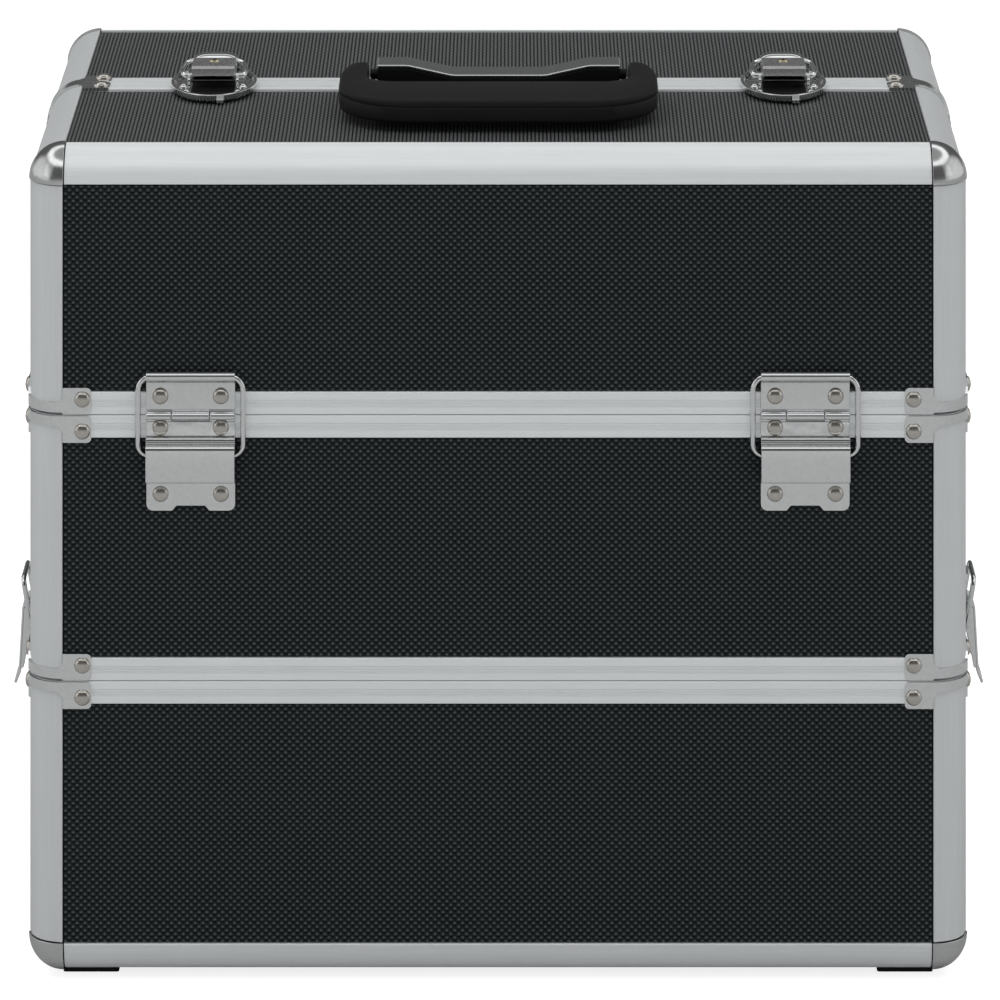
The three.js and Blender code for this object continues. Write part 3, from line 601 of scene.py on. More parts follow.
def rim_strip(axis, low, high, edge_height, other_height):
    """Ridged strip on the front (along x) or right face (along y), from its seam edge to its board edge."""
    span = other_height - edge_height
    facing, half = (-1, HALF_DEPTH) if axis == "x" else (1, HALF_WIDTH)
    face = [(facing * (half + out), edge_height + h * span / RIM) for h, out in ridged(RIM)]
    back = [(facing * (half - SHELL), other_height), (facing * (half - SHELL), edge_height)]
    return extrude(axis, face + back, low, high)


def plan_ring(section, inset, steps=6):
    """Sweeps an (out, height) section round the rounded plan outline, inset from its faces."""
    reach = RADIUS - inset
    stations = []
    for quarter, (sx, sy) in enumerate(((1, 1), (-1, 1), (-1, -1), (1, -1))):
        for k in range(steps + 1):
            angle = math.radians(90 * (quarter + k / steps))
            u, v = math.cos(angle), math.sin(angle)
            origin = Vector((sx * WINDOW_X + reach * u, sy * WINDOW_Y + reach * v, 0))
            stations.append((origin, Vector((u, v, 0)), Vector((0, 0, 1))))
    return sweep(section, stations, loop=True)


def rim_core(low, high):
    """Flat ring inside the posts that joins the four strips of a seam."""
    inset = SHELL + CORE_GAP
    depth = WALL - SHELL - CORE_GAP
    return plan_ring([(0, low), (0, high), (-depth + 0.6, high), (-depth, high - 0.6), (-depth, low)], inset)


def bracket(place, band, lift=0.0):
    """Pressed bracket round a rounded edge: a narrow band that widens into a lobe on each face.

    The band stands off the seam by lift, which leaves a dark gap at the corner.
    """
    fillet, corner, sunk = 2.4, 1.8, -0.3
    stations = [(45 * k / 6, 0.0) for k in range(7)]
    stations += [(45, distance) for distance in (0.02, 0.04, 2.0, 4.0, 6.0, 8.0)]
    stations += [(45, LOBE - corner + corner * math.sin(k * math.pi / 10)) for k in range(6)]
    half = []
    for angle, distance in stations:
        low, high = BRACKET_EDGE, LOBE_HEIGHT
        before = (45 - angle) * math.pi / 180 * RADIUS
        if distance <= 0.02:
            shift = max(0.0, fillet - before)
            low += lift
            high = band + fillet - math.sqrt(max(0.0, fillet**2 - shift**2))
        if distance > LOBE - corner:
            trim = corner - math.sqrt(max(0.0, corner**2 - (distance - LOBE + corner) ** 2))
            low, high = low + trim, high - trim
        half.append((math.radians(45 - angle), distance, low, high))
    whole = [(math.pi / 2 - t, -d, lo, hi) for t, d, lo, hi in reversed(half[1:])] + half
    points = []
    for turn, distance, low, high in whole:
        c, s = math.cos(turn), math.sin(turn)
        for out, height in ((sunk, low), (BRACKET_PROUD, low), (BRACKET_PROUD, high), (sunk, high)):
            a = RADIUS * (c - 1) + out * c + min(distance, 0)
            b = RADIUS * (s - 1) + out * s - max(distance, 0)
            points.append(Vector(place(a, b, height)))
    return skin(points, 4, len(whole))


def seam_place(seam, side):
    return lambda a, b, h: (HALF_WIDTH + a, -HALF_DEPTH - b, seam + side * h)


def split_place(a, b, h):
    return (HALF_WIDTH + a, -h, TOP + b)


def ball_cap(level, up):
    """Pressed ball corner at the front right, with short arms over the three profiles that meet there."""
    steps = 9
    radius = RADIUS + CAP_PROUD
    points, faces = [], []
    for turn in range(3):
        start = len(points)
        for i in range(-1, steps + 1):
            for j in range(-1, steps + 1):
                u = math.tan(max(i, 0) / steps * math.pi / 4)
                v = math.tan(max(j, 0) / steps * math.pi / 4)
                spot = Vector((1, u, v)).normalized() * radius
                spot.y = -CAP_ARM if i < 0 else spot.y
                spot.z = -CAP_ARM if j < 0 else spot.z
                c = [spot[(k - turn) % 3] - RADIUS for k in range(3)]
                points.append(Vector((HALF_WIDTH + c[0], -HALF_DEPTH - c[1], level + up * c[2])))
        row = steps + 2
        for i in range(row - 1):
            for j in range(row - 1):
                a = start + i * row + j
                faces.append((a, a + 1, a + row + 1, a + row))
    return points, faces


def seam_rivets(seam, side):
    height = seam + side * SEAM_RIVET
    return [
        rivet((HALF_WIDTH - RIVET_INSET, -HALF_DEPTH - BRACKET_PROUD, height), (0, -1, 0)),
        rivet((HALF_WIDTH + BRACKET_PROUD, RIVET_INSET - HALF_DEPTH, height), (1, 0, 0)),
    ]


def four_corners():
    for end, y in ENDS.items():
        for side, x in SIDES.items():
            yield f"{end}_{side}", x, y


def four_sides(front, right):
    """The front and right shapes and their mirror images, each with its name and the axis it runs along."""
    yield "front", "x", front
    yield "rear", "x", flipped(front, 1, -1)
    yield "left", "y", flipped(right, -1, 1)
    yield "right", "y", right


def level_frame(level, low, high, seams):
    """Posts, rims, brackets and rivets of a level that runs all the way round."""
    body, profile = f"{level}_case", "aluminium_profile"
    rivets = []
    for corner, x, y in four_corners():
        stands_for = (f"{level}_frame",) if corner == "front_right" else ()
        piece(f"{level}_post_{corner}", body, profile, ALUMINIUM["z"],
              [flipped(post(low, high), x, y)], stands_for, bevel=PROFILE_EASE)
        for where, seam, side in seams:
            band, lift = (BAND_HEIGHT, WEDGE) if side > 0 else (BAND_HEIGHT - 0.8, 0.0)
            shape = bracket(seam_place(seam, side), band, lift)
            piece(f"{level}_{where}_bracket_{corner}", body, "chromed_steel", CHROME,
                  [flipped(shape, x, y)], bevel=BRACKET_EASE)
            rivets += [flipped(r, x, y) for r in seam_rivets(seam, side)]
    piece(f"{level}_rivets", body, "chromed_steel", NICKEL, rivets)
    for where, seam, side in seams:
        seam_edge, board_edge = seam + side * SEAM_GAP, seam + side * RIM
        front = rim_strip("x", -WINDOW_X, WINDOW_X, seam_edge, board_edge)
        right = rim_strip("y", -WINDOW_Y, WINDOW_Y, seam_edge, board_edge)
        for name, axis, shape in four_sides(front, right):
            piece(f"{level}_{where}_rim_{name}", body, profile, RIM_ALUMINIUM[axis], [shape])
        core = rim_core(*sorted((seam_edge, board_edge)))
        piece(f"{level}_{where}_rim_core", body, profile, ALUMINIUM["x"], [core], bevel=0.3)


def board(name, body, plane, spans, stands_for=()):
    """Dimpled board set into its window."""
    piece(name, body, "dimpled_board", BOARD[plane], [box(*spans)], stands_for, bevel=BOARD_EASE)


def eased(span):
    """A window's span less the dark joint left round its board."""
    return (span[0] + JOINT, span[1] - JOINT)


def level_boards(level, low, high):
    """Four boards in the windows of a level."""
    body = f"{level}_case"
    out_x, out_y = HALF_WIDTH - RECESS, HALF_DEPTH - RECESS
    x, y, z = eased((-WINDOW_X, WINDOW_X)), eased((-WINDOW_Y, WINDOW_Y)), eased((low, high))
    for end, facing in ENDS.items():
        span = sorted((-facing * out_y, -facing * (out_y - LINING + RECESS)))
        stands_for = (f"{level}_walls",) if end == "front" else ()
        board(f"{level}_{end}_board", body, "xz", (x, span, z), stands_for)
    for side, facing in SIDES.items():
        span = sorted((facing * out_x, facing * (out_x - LINING + RECESS)))
        board(f"{level}_{side}_board", body, "yz", (span, y, z))


def cloth(name, body, shapes, stands_for=(), **options):
    piece(name, body, "floor_board", CLOTH, shapes, stands_for, **options)


def level_lining(level, low, high):
    """Padded cloth wall round the inside of a level."""
    inset = LINING + CLOTH_INSET
    depth = WALL - LINING - CLOTH_INSET
    section = bent([(0, low), (0, high), (-depth, high), (-depth, low)], [0, 0, 1.2, 1.2], steps=3)
    cloth(f"{level}_lining", f"{level}_case", [plan_ring(section, inset)])


def floor_pad(level, low, high, stands_for=()):
    """Floor board with a cloth face, its edges rolled over."""
    x, y = INNER_X - CLOTH_INSET, INNER_Y - CLOTH_INSET
    pad = extrude("z", rounded((-x, x), (-y, y), 4), low, high)
    cloth(f"{level}_floor_pad", f"{level}_case", [pad], stands_for, bevel=1.0, segments=3)


# Bottom and middle case ---------------------------------------------------------------------------------


def bottom_case():
    body = "bottom_case"
    level_frame("bottom", BASE + RADIUS + CAP_GAP, LOWER_SEAM - SEAM_GAP, [("upper", LOWER_SEAM, -1)])
    front = rail("x", CAP_GAP - WINDOW_X, WINDOW_X - CAP_GAP, BASE, -1)
    right = rail("y", CAP_GAP - WINDOW_Y, WINDOW_Y - CAP_GAP, BASE, -1)
    for name, axis, shape in four_sides(front, right):
        piece(f"bottom_rail_{name}", body, "aluminium_profile", ALUMINIUM[axis], [shape], bevel=PROFILE_EASE)
    for corner, x, y in four_corners():
        piece(f"bottom_ball_corner_{corner}", body, "chromed_steel", CAP_CHROME,
              [flipped(ball_cap(BASE, -1), x, y)], bevel=CAP_EASE, thickness=CAP_SHEET)
    level_boards("bottom", BASE + RADIUS, LOWER_SEAM - RIM)
    level_lining("bottom", FLOOR_TOP - 2 * LINING_GAP, LOWER_SEAM - RIM - LINING_GAP)
    underside = box((-WINDOW_X, WINDOW_X), (-WINDOW_Y, WINDOW_Y), (BASE + RECESS, BASE + LINING))
    piece("bottom_underside_board", body, "floor_board", BOARD["xy"], [underside], ("bottom_floor",),
          bevel=BOARD_EASE)
    floor_pad("bottom", BASE + LINING, FLOOR_TOP)
    for corner, x, y in four_corners():
        node = f"foot_{corner}"
        low, high = corners_of(node)
        pad = extrude("z", rounded((low.x, high.x), (low.y, high.y), 1.0), low.z, high.z)
        piece(f"rubber_{node}", body, "rubber_foot", RUBBER, [pad], (node,), bevel=0.3, segments=3)


def middle_case():
    seams = [("lower", LOWER_SEAM, 1), ("upper", UPPER_SEAM, -1)]
    level_frame("middle", LOWER_SEAM + SEAM_GAP + WEDGE, UPPER_SEAM - SEAM_GAP, seams)
    level_boards("middle", LOWER_SEAM + RIM, UPPER_SEAM - RIM)
    level_lining("middle", LOWER_SEAM + RIM + LINING_GAP, UPPER_SEAM - RIM - LINING_GAP)
    floor_pad("middle", edge("middle_floor", 0, "z"), edge("middle_floor", 1, "z"), ("middle_floor",))


# Lid halves ---------------------------------------------------------------------------------------------


def split_strip():
    """Ridged strip along the split: across the top, and down the right side."""
    top_face = [(-h, TOP + out) for h, out in ridged(SPLIT_RIM)]
    top_back = [(-SPLIT_RIM, TOP - WALL), (0, TOP - WALL)]
    across = extrude("x", [(min(y, -SEAM_GAP), z) for y, z in top_face + top_back], -WINDOW_X, WINDOW_X)
    side_face = [(HALF_WIDTH + out, -h) for h, out in ridged(SPLIT_RIM)]
    side_back = [(INNER_X, -SPLIT_RIM), (INNER_X, 0)]
    down = extrude("z", [(x, min(y, -SEAM_GAP)) for x, y in side_face + side_back],
                   UPPER_SEAM + RIM, TOP - RADIUS)
    return across, down


def lid(end, flip):
    body = f"{end}_lid"
    low, high = UPPER_SEAM + SEAM_GAP, UPPER_SEAM + RIM
    put = fittings(body + "_", lambda shape: flipped(shape, 1, flip))

    def profile(name, finish, shape, node="", **options):
        put(name, body, finish, [shape], node, "aluminium_profile", **options)

    rivets = []
    for side, x in SIDES.items():
        profile(f"post_{side}", ALUMINIUM["z"], flipped(post(low + WEDGE, TOP - RADIUS - CAP_GAP), x, 1),
                bevel=PROFILE_EASE)
        side_rail = rail("y", CAP_GAP - WINDOW_Y, -SEAM_GAP, TOP, 1)
        profile(f"top_rail_{side}", ALUMINIUM["y"], flipped(side_rail, x, 1), bevel=PROFILE_EASE)
        put(f"ball_corner_{side}", body, CAP_CHROME, [flipped(ball_cap(TOP, 1), x, 1)],
            bevel=CAP_EASE, thickness=CAP_SHEET)
        for where, shape in (("seam", bracket(seam_place(UPPER_SEAM, 1), BAND_HEIGHT, WEDGE)),
                             ("split", bracket(split_place, BAND_HEIGHT - 0.4))):
            put(f"{where}_bracket_{side}", body, CHROME, [flipped(shape, x, 1)], bevel=BRACKET_EASE)
        heads = seam_rivets(UPPER_SEAM, 1) + [
            rivet((HALF_WIDTH - RIVET_INSET, -SPLIT_RIVET, TOP + BRACKET_PROUD), (0, 0, 1)),
            rivet((HALF_WIDTH + BRACKET_PROUD, -SPLIT_RIVET, TOP - RIVET_INSET), (1, 0, 0)),
        ]
        rivets += [flipped(head, x, 1) for head in heads]
    put("rivets", body, NICKEL, rivets)
    front_rail = rail("x", CAP_GAP - WINDOW_X, WINDOW_X - CAP_GAP, TOP, 1)
    profile("top_rail_front", ALUMINIUM["x"], front_rail, "frame", bevel=PROFILE_EASE)
    across, down = split_strip()
    profile("split_strip_top", RIM_ALUMINIUM["x"], across)
    for side, x in SIDES.items():
        profile(f"split_strip_{side}", RIM_ALUMINIUM["z"], flipped(down, x, 1))
        strip = rim_strip("y", -WINDOW_Y, -SEAM_GAP, low, high)
        profile(f"seam_rim_{side}", RIM_ALUMINIUM["y"], flipped(strip, x, 1))
    profile("seam_rim_face", RIM_ALUMINIUM["x"], rim_strip("x", -WINDOW_X, WINDOW_X, low, high))
    put("seam_rim_core", body, ALUMINIUM["x"], lid_core(low, high), slot="aluminium_profile", bevel=0.3)
    x_span, y_span = eased((-WINDOW_X, WINDOW_X)), eased((-WINDOW_Y, -SPLIT_RIM))
    z_span = eased((high, TOP - RADIUS))
    faces = {
        "face": ("xz", (x_span, (RECESS - HALF_DEPTH, LINING - HALF_DEPTH), z_span)),
        "top": ("xy", (x_span, y_span, (TOP - LINING, TOP - RECESS))),
        "right": ("yz", ((HALF_WIDTH - LINING, HALF_WIDTH - RECESS), y_span, z_span)),
        "left": ("yz", ((RECESS - HALF_WIDTH, LINING - HALF_WIDTH), y_span, z_span)),
    }
    for name, (plane, spans) in faces.items():
        put(f"{name}_panel", body, BOARD[plane], [box(*spans)], f"{name}_board", "dimpled_board",
            bevel=BOARD_EASE)
    put("lining", body, CLOTH, lid_lining(high), slot="floor_board", bevel=1.0, segments=3)


def lid_core(low, high):
    """Flat bars behind the seam strips of a lid half."""
    out_x, out_y = HALF_WIDTH - SHELL - CORE_GAP, HALF_DEPTH - SHELL - CORE_GAP
    front = box((-out_x + 6, out_x - 6), (-out_y, -INNER_Y), (low, high))
    side = box((INNER_X, out_x), (-out_y + 6, -SEAM_GAP), (low, high))
    return [front] + both(side)


def lid_lining(low):
    """Cloth-covered boards inside a lid half."""
    roof_y, wall_z = (-INNER_Y - 3, -SPLIT_RIM), (low, TOP - WALL)
    front = box((-INNER_X, INNER_X), (LINING - HALF_DEPTH + LINING_GAP, -INNER_Y), wall_z)
    roof = box((-INNER_X, INNER_X), roof_y, (TOP - WALL, TOP - LINING - LINING_GAP))
    side = box((INNER_X, HALF_WIDTH - LINING - LINING_GAP), roof_y, wall_z)
    return [front, roof] + both(side)


# Hinges -------------------------------------------------------------------------------------------------


def on_front(points):
    """(out, height) points, measured from the front face and the upper seam, as (y, z)."""
    return [(-HALF_DEPTH - out, UPPER_SEAM + height) for out, height in points]


def barrel(low, high):
    """One knuckle, with its rim eased at both ends."""
    y, z = on_front([(BARREL_OUT, BARREL_RISE)])[0]
    ease, length = 0.25, high - low
    line = [(0, 0), (BARREL - ease, 0), (BARREL, ease), (BARREL, length - ease), (BARREL - ease, length)]
    return lathe(line + [(0, length)], (low, y, z), (1, 0, 0))


def upper_leaf():
    """Riveted plate whose upper edge is rolled round the ring, with a knuckle below."""
    strip = [(PLATE_BACK, 2.6), (PLATE_FRONT, 2.6), (PLATE_FRONT, 12.6), (2.4, 13.4)]
    roll = arc(RING_OUT, RING_TOP, 2.0, range(-60, 181, 15))
    bore = arc(RING_OUT, RING_TOP, 1.25, range(180, -46, -15))
    plate = extrude("x", on_front(strip + roll + bore + [(1.75, 14.2), (PLATE_BACK, 13.6)]), -HINGE_HALF,
                    HINGE_HALF)
    neck = extrude("x", on_front([(0.9, 1.0), (1.7, 1.0), (1.7, 2.8), (0.9, 2.8)]), -KNUCKLE, KNUCKLE)
    return [plate, neck, barrel(-KNUCKLE, KNUCKLE)]


def lower_leaf():
    """Riveted strip, two rounded ridges, the raised pocket for the ring, and a notched tongue."""
    out, back = POCKET_OUT, POCKET_OUT - 0.9
    folds = [(0.8, -2.2), (2.0, -2.2), (2.0, -7.8), (4.8, -7.8), (5.5, -9.2), (4.8, -10.0), (out, -11.0),
             (out, -25.0), (1.0, -26.6), (-0.1, -26.6), (back, -24.3), (back, -12.4), (3.6, -10.4),
             (0.8, -8.7)]
    radii = [0, 0.2, 0.2, 0.8, 0.6, 0.3, 2.2, 0.9, 0.3, 0, 0.6, 1.4, 0.3, 0.3]
    pocket = extrude("x", on_front(bent(folds, radii, steps=4)), -HINGE_HALF, HINGE_HALF)
    low, fold, notch = -37.6, -26.0, 2.0
    half = HINGE_HALF
    edge_line = [(-half, fold), (-half, low), (-7.3, low), (-5.6, low + notch), (5.6, low + notch),
                 (7.3, low), (half, low), (half, fold)]
    outline = bent(edge_line, [0, 2.6, 0.8, 0.8, 0.8, 0.8, 2.6, 0], steps=4)
    tongue = extrude("y", [(x, UPPER_SEAM + z) for x, z in outline], -HALF_DEPTH - 1.0, -HALF_DEPTH + 0.2)
    start = KNUCKLE + KNUCKLE_GAP
    outer = [barrel(start, HINGE_HALF), barrel(-HINGE_HALF, -start)]
    necks = both(extrude("x", on_front([(0.9, -0.6), (1.7, -0.6), (1.7, -2.5), (0.9, -2.5)]),
                         start, HINGE_HALF))
    return [pocket, tongue] + outer + necks


def hinge_ring():
    path = bent([(-RING_HALF, RING_BOTTOM), (RING_HALF, RING_BOTTOM), (RING_HALF, RING_TOP),
                 (-RING_HALF, RING_TOP)], [4.6, 4.6, 5.4, 5.4], steps=8)
    y = -HALF_DEPTH - RING_OUT
    return wire([(p.x, y, UPPER_SEAM + p.y) for p in path], RING_WIRE, (0, 1, 0), loop=True, sides=18)


def hinge(end, side, x, y):
    case, lid_half = "middle_case", f"{end}_lid"
    put = fittings(f"{end}_{side}_hinge_", lambda shape: flipped(moved(shape, x * HINGE_X), 1, y))

    def heads(spots):
        return [rivet((dx, -HALF_DEPTH - out, UPPER_SEAM + h), (0, -1, 0))
                for dx in (-HINGE_RIVET_X, HINGE_RIVET_X) for out, h in spots]

    put("upper_plate", lid_half, CHROME, upper_leaf(), "upper_leaf", bevel=0.15)
    put("lower_plate", case, CHROME, lower_leaf(), "lower_leaf", bevel=0.2)
    put("wire_ring", f"{end}_{side}_ring", CHROME, [hinge_ring()], "ring")
    put("upper_rivets", lid_half, NICKEL, heads([(PLATE_FRONT, 7.8)]))
    put("lower_rivets", case, NICKEL, heads([(PLATE_FRONT, -4.4), (1.0, -30.9)]))


# Top latches --------------------------------------------------------------------------------------------

OVAL_CENTRE = -6.0
DISH_GAP = 0.3
OVAL = (17.7, 28.0)


def on_top(points):
    """(y, height) points, measured from the top of the lid, as (y, z)."""
    return [(y, TOP + height) for y, height in points]


def oval(shrink, start, stop, steps=28):
    """Arc of the latch dish between two angles in degrees; 90 points to the rear."""
    across, along = OVAL[0] - shrink, OVAL[1] - shrink
    found = []
    for k in range(steps + 1):
        t = math.radians(start + (stop - start) * k / steps)
        found.append(Vector((across * math.cos(t), OVAL_CENTRE + along * math.sin(t))))
    return found


def dish_half(front):
    """Half of the oval dish: its rolled rim and its sunk floor, cut along the split."""
    cut = -DISH_GAP if front else DISH_GAP
    lean = math.degrees(math.asin((cut - OVAL_CENTRE) / OVAL[1]))
    start, stop = (180 - lean, 360 + lean) if front else (lean, 180 - lean)
    path = oval(0, start, stop)
    section = bent([(-0.4, 0.7), (0.0, 3.3), (-1.3, 3.3), (-2.5, 1.9), (-3.4, 1.8), (-3.4, 0.7)],
                   [0, 0.35, 0.35, 0.5, 0.2, 0], steps=3)
    points = []
    for i, spot in enumerate(path):
        along = (path[min(i + 1, len(path) - 1)] - path[max(i - 1, 0)]).normalized()
        out = Vector((along.y, -along.x))
        if i in (0, len(path) - 1):
            out = Vector((math.copysign(1, spot.x), 0))
        for a, h in section:
            points.append(Vector((spot.x + out.x * a, spot.y + out.y * a, TOP + h)))
    rim = skin(points, len(section), len(path))
    floor_path = oval(2.6, start, stop)
    floor_path[0].y = floor_path[-1].y = cut
    return [rim, extrude("z", floor_path, TOP + 0.7, TOP + 1.6)]


def top_lever():
    """Pressed lever: a domed top plate with a turned-down lip, and cheeks; the axle between the ears is made
    in top_latch.
    """
    face = [(-15.9, 6.8), (-15.0, 9.9), (-14.2, 10.7), (1.8, 10.7), (3.2, 9.6), (3.2, 6.2), (2.2, 5.2),
            (2.2, 9.2), (1.4, 9.8), (-13.3, 9.8), (-14.1, 9.2), (-15.1, 6.8)]
    radii = [0.3, 0.3, 0.4, 0.8, 0.8, 0.4, 0, 0.3, 0.3, 0.3, 0.3, 0.3]
    plate = extrude("x", on_top(bent(face, radii, steps=3)), -TOP_LEVER_HALF, TOP_LEVER_HALF)
    side = [(-14.2, 10.2), (-14.2, 7.4), (-11.5, 3.7), (0.5, 3.7), (2.6, 6.0), (2.6, 10.2)]
    return [plate] + both(extrude("x", on_top(bent(side, 0.8, steps=3)), CHEEK, TOP_LEVER_HALF))


def top_bail():
    """Wire loop: eyes at the lever's cheeks, arms that lean in and a bar over the hook."""
    low, high = Vector((-8.0, 5.5)), Vector((4.8, 8.7))
    slope = (high - low).normalized()
    rise = (high - low).length
    path = [(8.9, 0), (12.2, 0), (13.2, 4.0), (11.8, rise - 2.2), (9.6, rise)]
    half = bent(path, [0, 1.6, 5.0, 1.8, 0], loop=False, steps=6)
    whole = half + [Vector((-p.x, p.y)) for p in reversed(half)]
    spots = [(p.x, low.x + slope.x * p.y, TOP + low.y + slope.y * p.y) for p in whole]
    return wire(spots, BAIL_WIRE, (0, -slope.y, slope.x), sides=16)


def eye_posts():
    """Curled ears on the dish that carry the lever's axle, the studs beside them and a small front lug."""
    line = [(-15.0, 1.4), (-15.0, 5.2), (-12.5, 7.6), (-10.0, 5.2), (-10.0, 1.4)]
    shapes = both(extrude("x", on_top(bent(line, [0, 2.2, 2.2, 2.2, 0], steps=4)), 9.3, 10.5))
    head = [(0, 0), (2.0, 0), (1.9, 0.8), (1.4, 1.6), (0.7, 2.0), (0, 2.1)]
    for x, y in ((12.2, -13.6), (10.6, -24.0)):
        shapes += both(lathe(head, (x, y, TOP + 1.3), (0, 0, 1), 20))
    lug = [(-35.2, 0.2), (-35.2, 1.6), (-33.4, 3.4), (-31.6, 3.0), (-31.6, 0.2)]
    return shapes + [extrude("x", on_top(bent(lug, [0, 0.5, 0.9, 0.4, 0], steps=3)), 2.4, 5.2)]


def keeper_hook():
    """Arched hook on the rear half, with a domed back."""
    line = [(7.6, 1.4), (7.4, 6.8), (9.6, 10.2), (13.6, 10.8), (17.4, 6.2), (18.4, 1.4), (17.0, 1.4),
            (15.9, 5.5), (13.0, 9.4), (10.3, 8.9), (8.8, 6.4), (9.0, 1.4)]
    smooth = bent(line, [0, 1.2, 1.6, 2.6, 1.6, 0, 0, 1.4, 2.0, 1.2, 0.8, 0], steps=4)
    half, rings, foot, arch = 8.7, 13, 1.4, 9.4
    points = []
    for k in range(rings):
        x = -half + 2 * half * k / (rings - 1)
        sag = 1.6 * (x / half) ** 4
        points += [Vector((x, y, TOP + foot + (z - foot) * (1 - sag / arch))) for y, z in smooth]
    stud = lathe([(0, 0), (1.7, 0), (1.7, 1.2), (1.1, 1.9), (0, 2.0)], (12.2, 11.5, TOP + 1.2), (0, 0, 1), 18)
    return [skin(points, len(smooth), rings)] + both(stud)


def top_latch(side, x):
    lever, bail = f"{side}_top_lever", f"{side}_top_bail"
    put = fittings(f"{side}_top_latch_", lambda shape: moved(shape, x * TOP_LATCH_X))
    put("front_dish", "front_lid", BALL_CHROME, dish_half(True), "base", bevel=0.15)
    put("ears", "front_lid", BALL_CHROME, eye_posts(), bevel=0.2)
    # Black block in the dish under the lever: painted shade, a dark piece that stands in for the shade in the
    # hollow there.
    well = extrude("z", rounded((-8.9, 8.9), (-24.5, -0.4), 3), TOP + 1.0, TOP + 1.9)
    put("well", "front_lid", INSERT_PLASTIC, [well], bevel=0.2)
    put("rear_dish", "rear_lid", BALL_CHROME, dish_half(False), "keeper", bevel=0.15)
    put("hook", "rear_lid", BALL_CHROME, keeper_hook(), bevel=0.15)
    put("lever_plate", lever, SATIN, top_lever(), "lever", bevel=0.12)
    block = box((-7.6, 7.6), (-9.6, 1.4), (TOP + 4.4, TOP + 9.7))
    put("lever_core", lever, INSERT_PLASTIC, [block], bevel=0.4)
    axle = extrude("x", circle(-12.5, TOP + 4.6, 1.0, 20), -10.6, 10.6)
    put("axle", lever, DARK_STEEL, [axle], bevel=0.15)
    disc = lathe([(0, 0), (2.1, 0), (2.1, 0.3), (1.8, 0.5), (0, 0.5)], (0, -4, TOP + 10.6), (0, 0, 1), 28)
    put("lock_disc", lever, BRASS, [disc], bevel=0.1)
    # Black bar on the lock disc: painted shade that stands in for the dark key slot.
    bar = box((-0.4, 0.4), (-5.4, -2.6), (TOP + 11.0, TOP + 11.25))
    put("lock_slot", lever, INSERT_PLASTIC, [bar], bevel=0.05)
    put("wire_bail", bail, CHROME, [top_bail()], "bail")


# Side latches -------------------------------------------------------------------------------------------


def on_side(points):
    """(out, height) points, measured from the right face and the lower seam, as (x, z)."""
    return [(HALF_WIDTH + out, LOWER_SEAM + height) for out, height in points]


def side_plate(low, high):
    outline = [(y, LOWER_SEAM + z) for y, z in rounded((-16.5, 16.5), (low, high), 2.4)]
    return extrude("x", outline, HALF_WIDTH + PLATE_BACK, HALF_WIDTH + PLATE_FRONT)


def side_ears():
    line = [(1.4, -6.4), (1.4, -0.9), (5.4, -0.7), (8.2, -3.4), (5.4, -6.4)]
    ear = extrude("y", on_side(bent(line, [0, 0, 2.0, 2.4, 2.0], steps=4)), 9.15, 10.45)
    return [ear, flipped(ear, 1, -1)]


def side_lever():
    """Channel-shaped lever with a flared tab."""
    face = [(3.8, -1.9), (8.4, -1.9), (11.2, -4.2), (12.7, -30.8), (14.6, -35.4), (13.6, -35.8),
            (11.7, -31.0), (10.2, -4.9), (8.0, -2.9), (3.8, -2.9)]
    radii = [0, 1.0, 1.4, 3.0, 0.3, 0.3, 3.0, 0.9, 0.6, 0]
    plate = extrude("y", on_side(bent(face, radii, steps=4)), -SIDE_LEVER_HALF, SIDE_LEVER_HALF)
    side = [(3.8, -2.2), (8.2, -2.3), (10.7, -4.6), (12.1, -29.5), (10.6, -29.5), (8.0, -16.0), (3.8, -6.2)]
    rounding = [0.6, 0.6, 0.8, 0.4, 0.8, 4.0, 0.8]
    cheek = extrude("y", on_side(bent(side, rounding, steps=4)), CHEEK, SIDE_LEVER_HALF)
    pin = extrude("y", circle(*on_side([(5.5, -3.5)])[0], 1.1, 18), -10.5, 10.5)
    return [plate, cheek, flipped(cheek, 1, -1), pin]


def side_bail():
    low, high = Vector((7.0, -12.0)), Vector((10.4, 8.2))
    slope = (high - low).normalized()
    rise = (high - low).length
    half = bent([(8.8, 0), (12.3, 0), (12.3, rise), (6.0, rise)], [0, 1.8, 3.0, 0], loop=False, steps=6)
    whole = half + [Vector((-p.x, p.y)) for p in reversed(half)]
    spots = [(HALF_WIDTH + low.x + slope.x * p.y, p.x, LOWER_SEAM + low.y + slope.y * p.y) for p in whole]
    return wire(spots, BAIL_WIRE, (slope.y, 0, -slope.x), sides=16)


def side_hook():
    line = [(1.4, 1.6), (1.4, 5.6), (6.2, 8.8), (7.6, 9.5), (8.4, 8.8), (8.3, 6.0), (7.3, 5.8), (7.2, 7.4),
            (2.6, 4.2), (2.6, 1.6)]
    radii = [0, 0.8, 0.8, 0.6, 0.5, 0.4, 0.4, 0.4, 0.6, 0]
    return extrude("y", on_side(bent(line, radii, steps=3)), -8.8, 8.8)


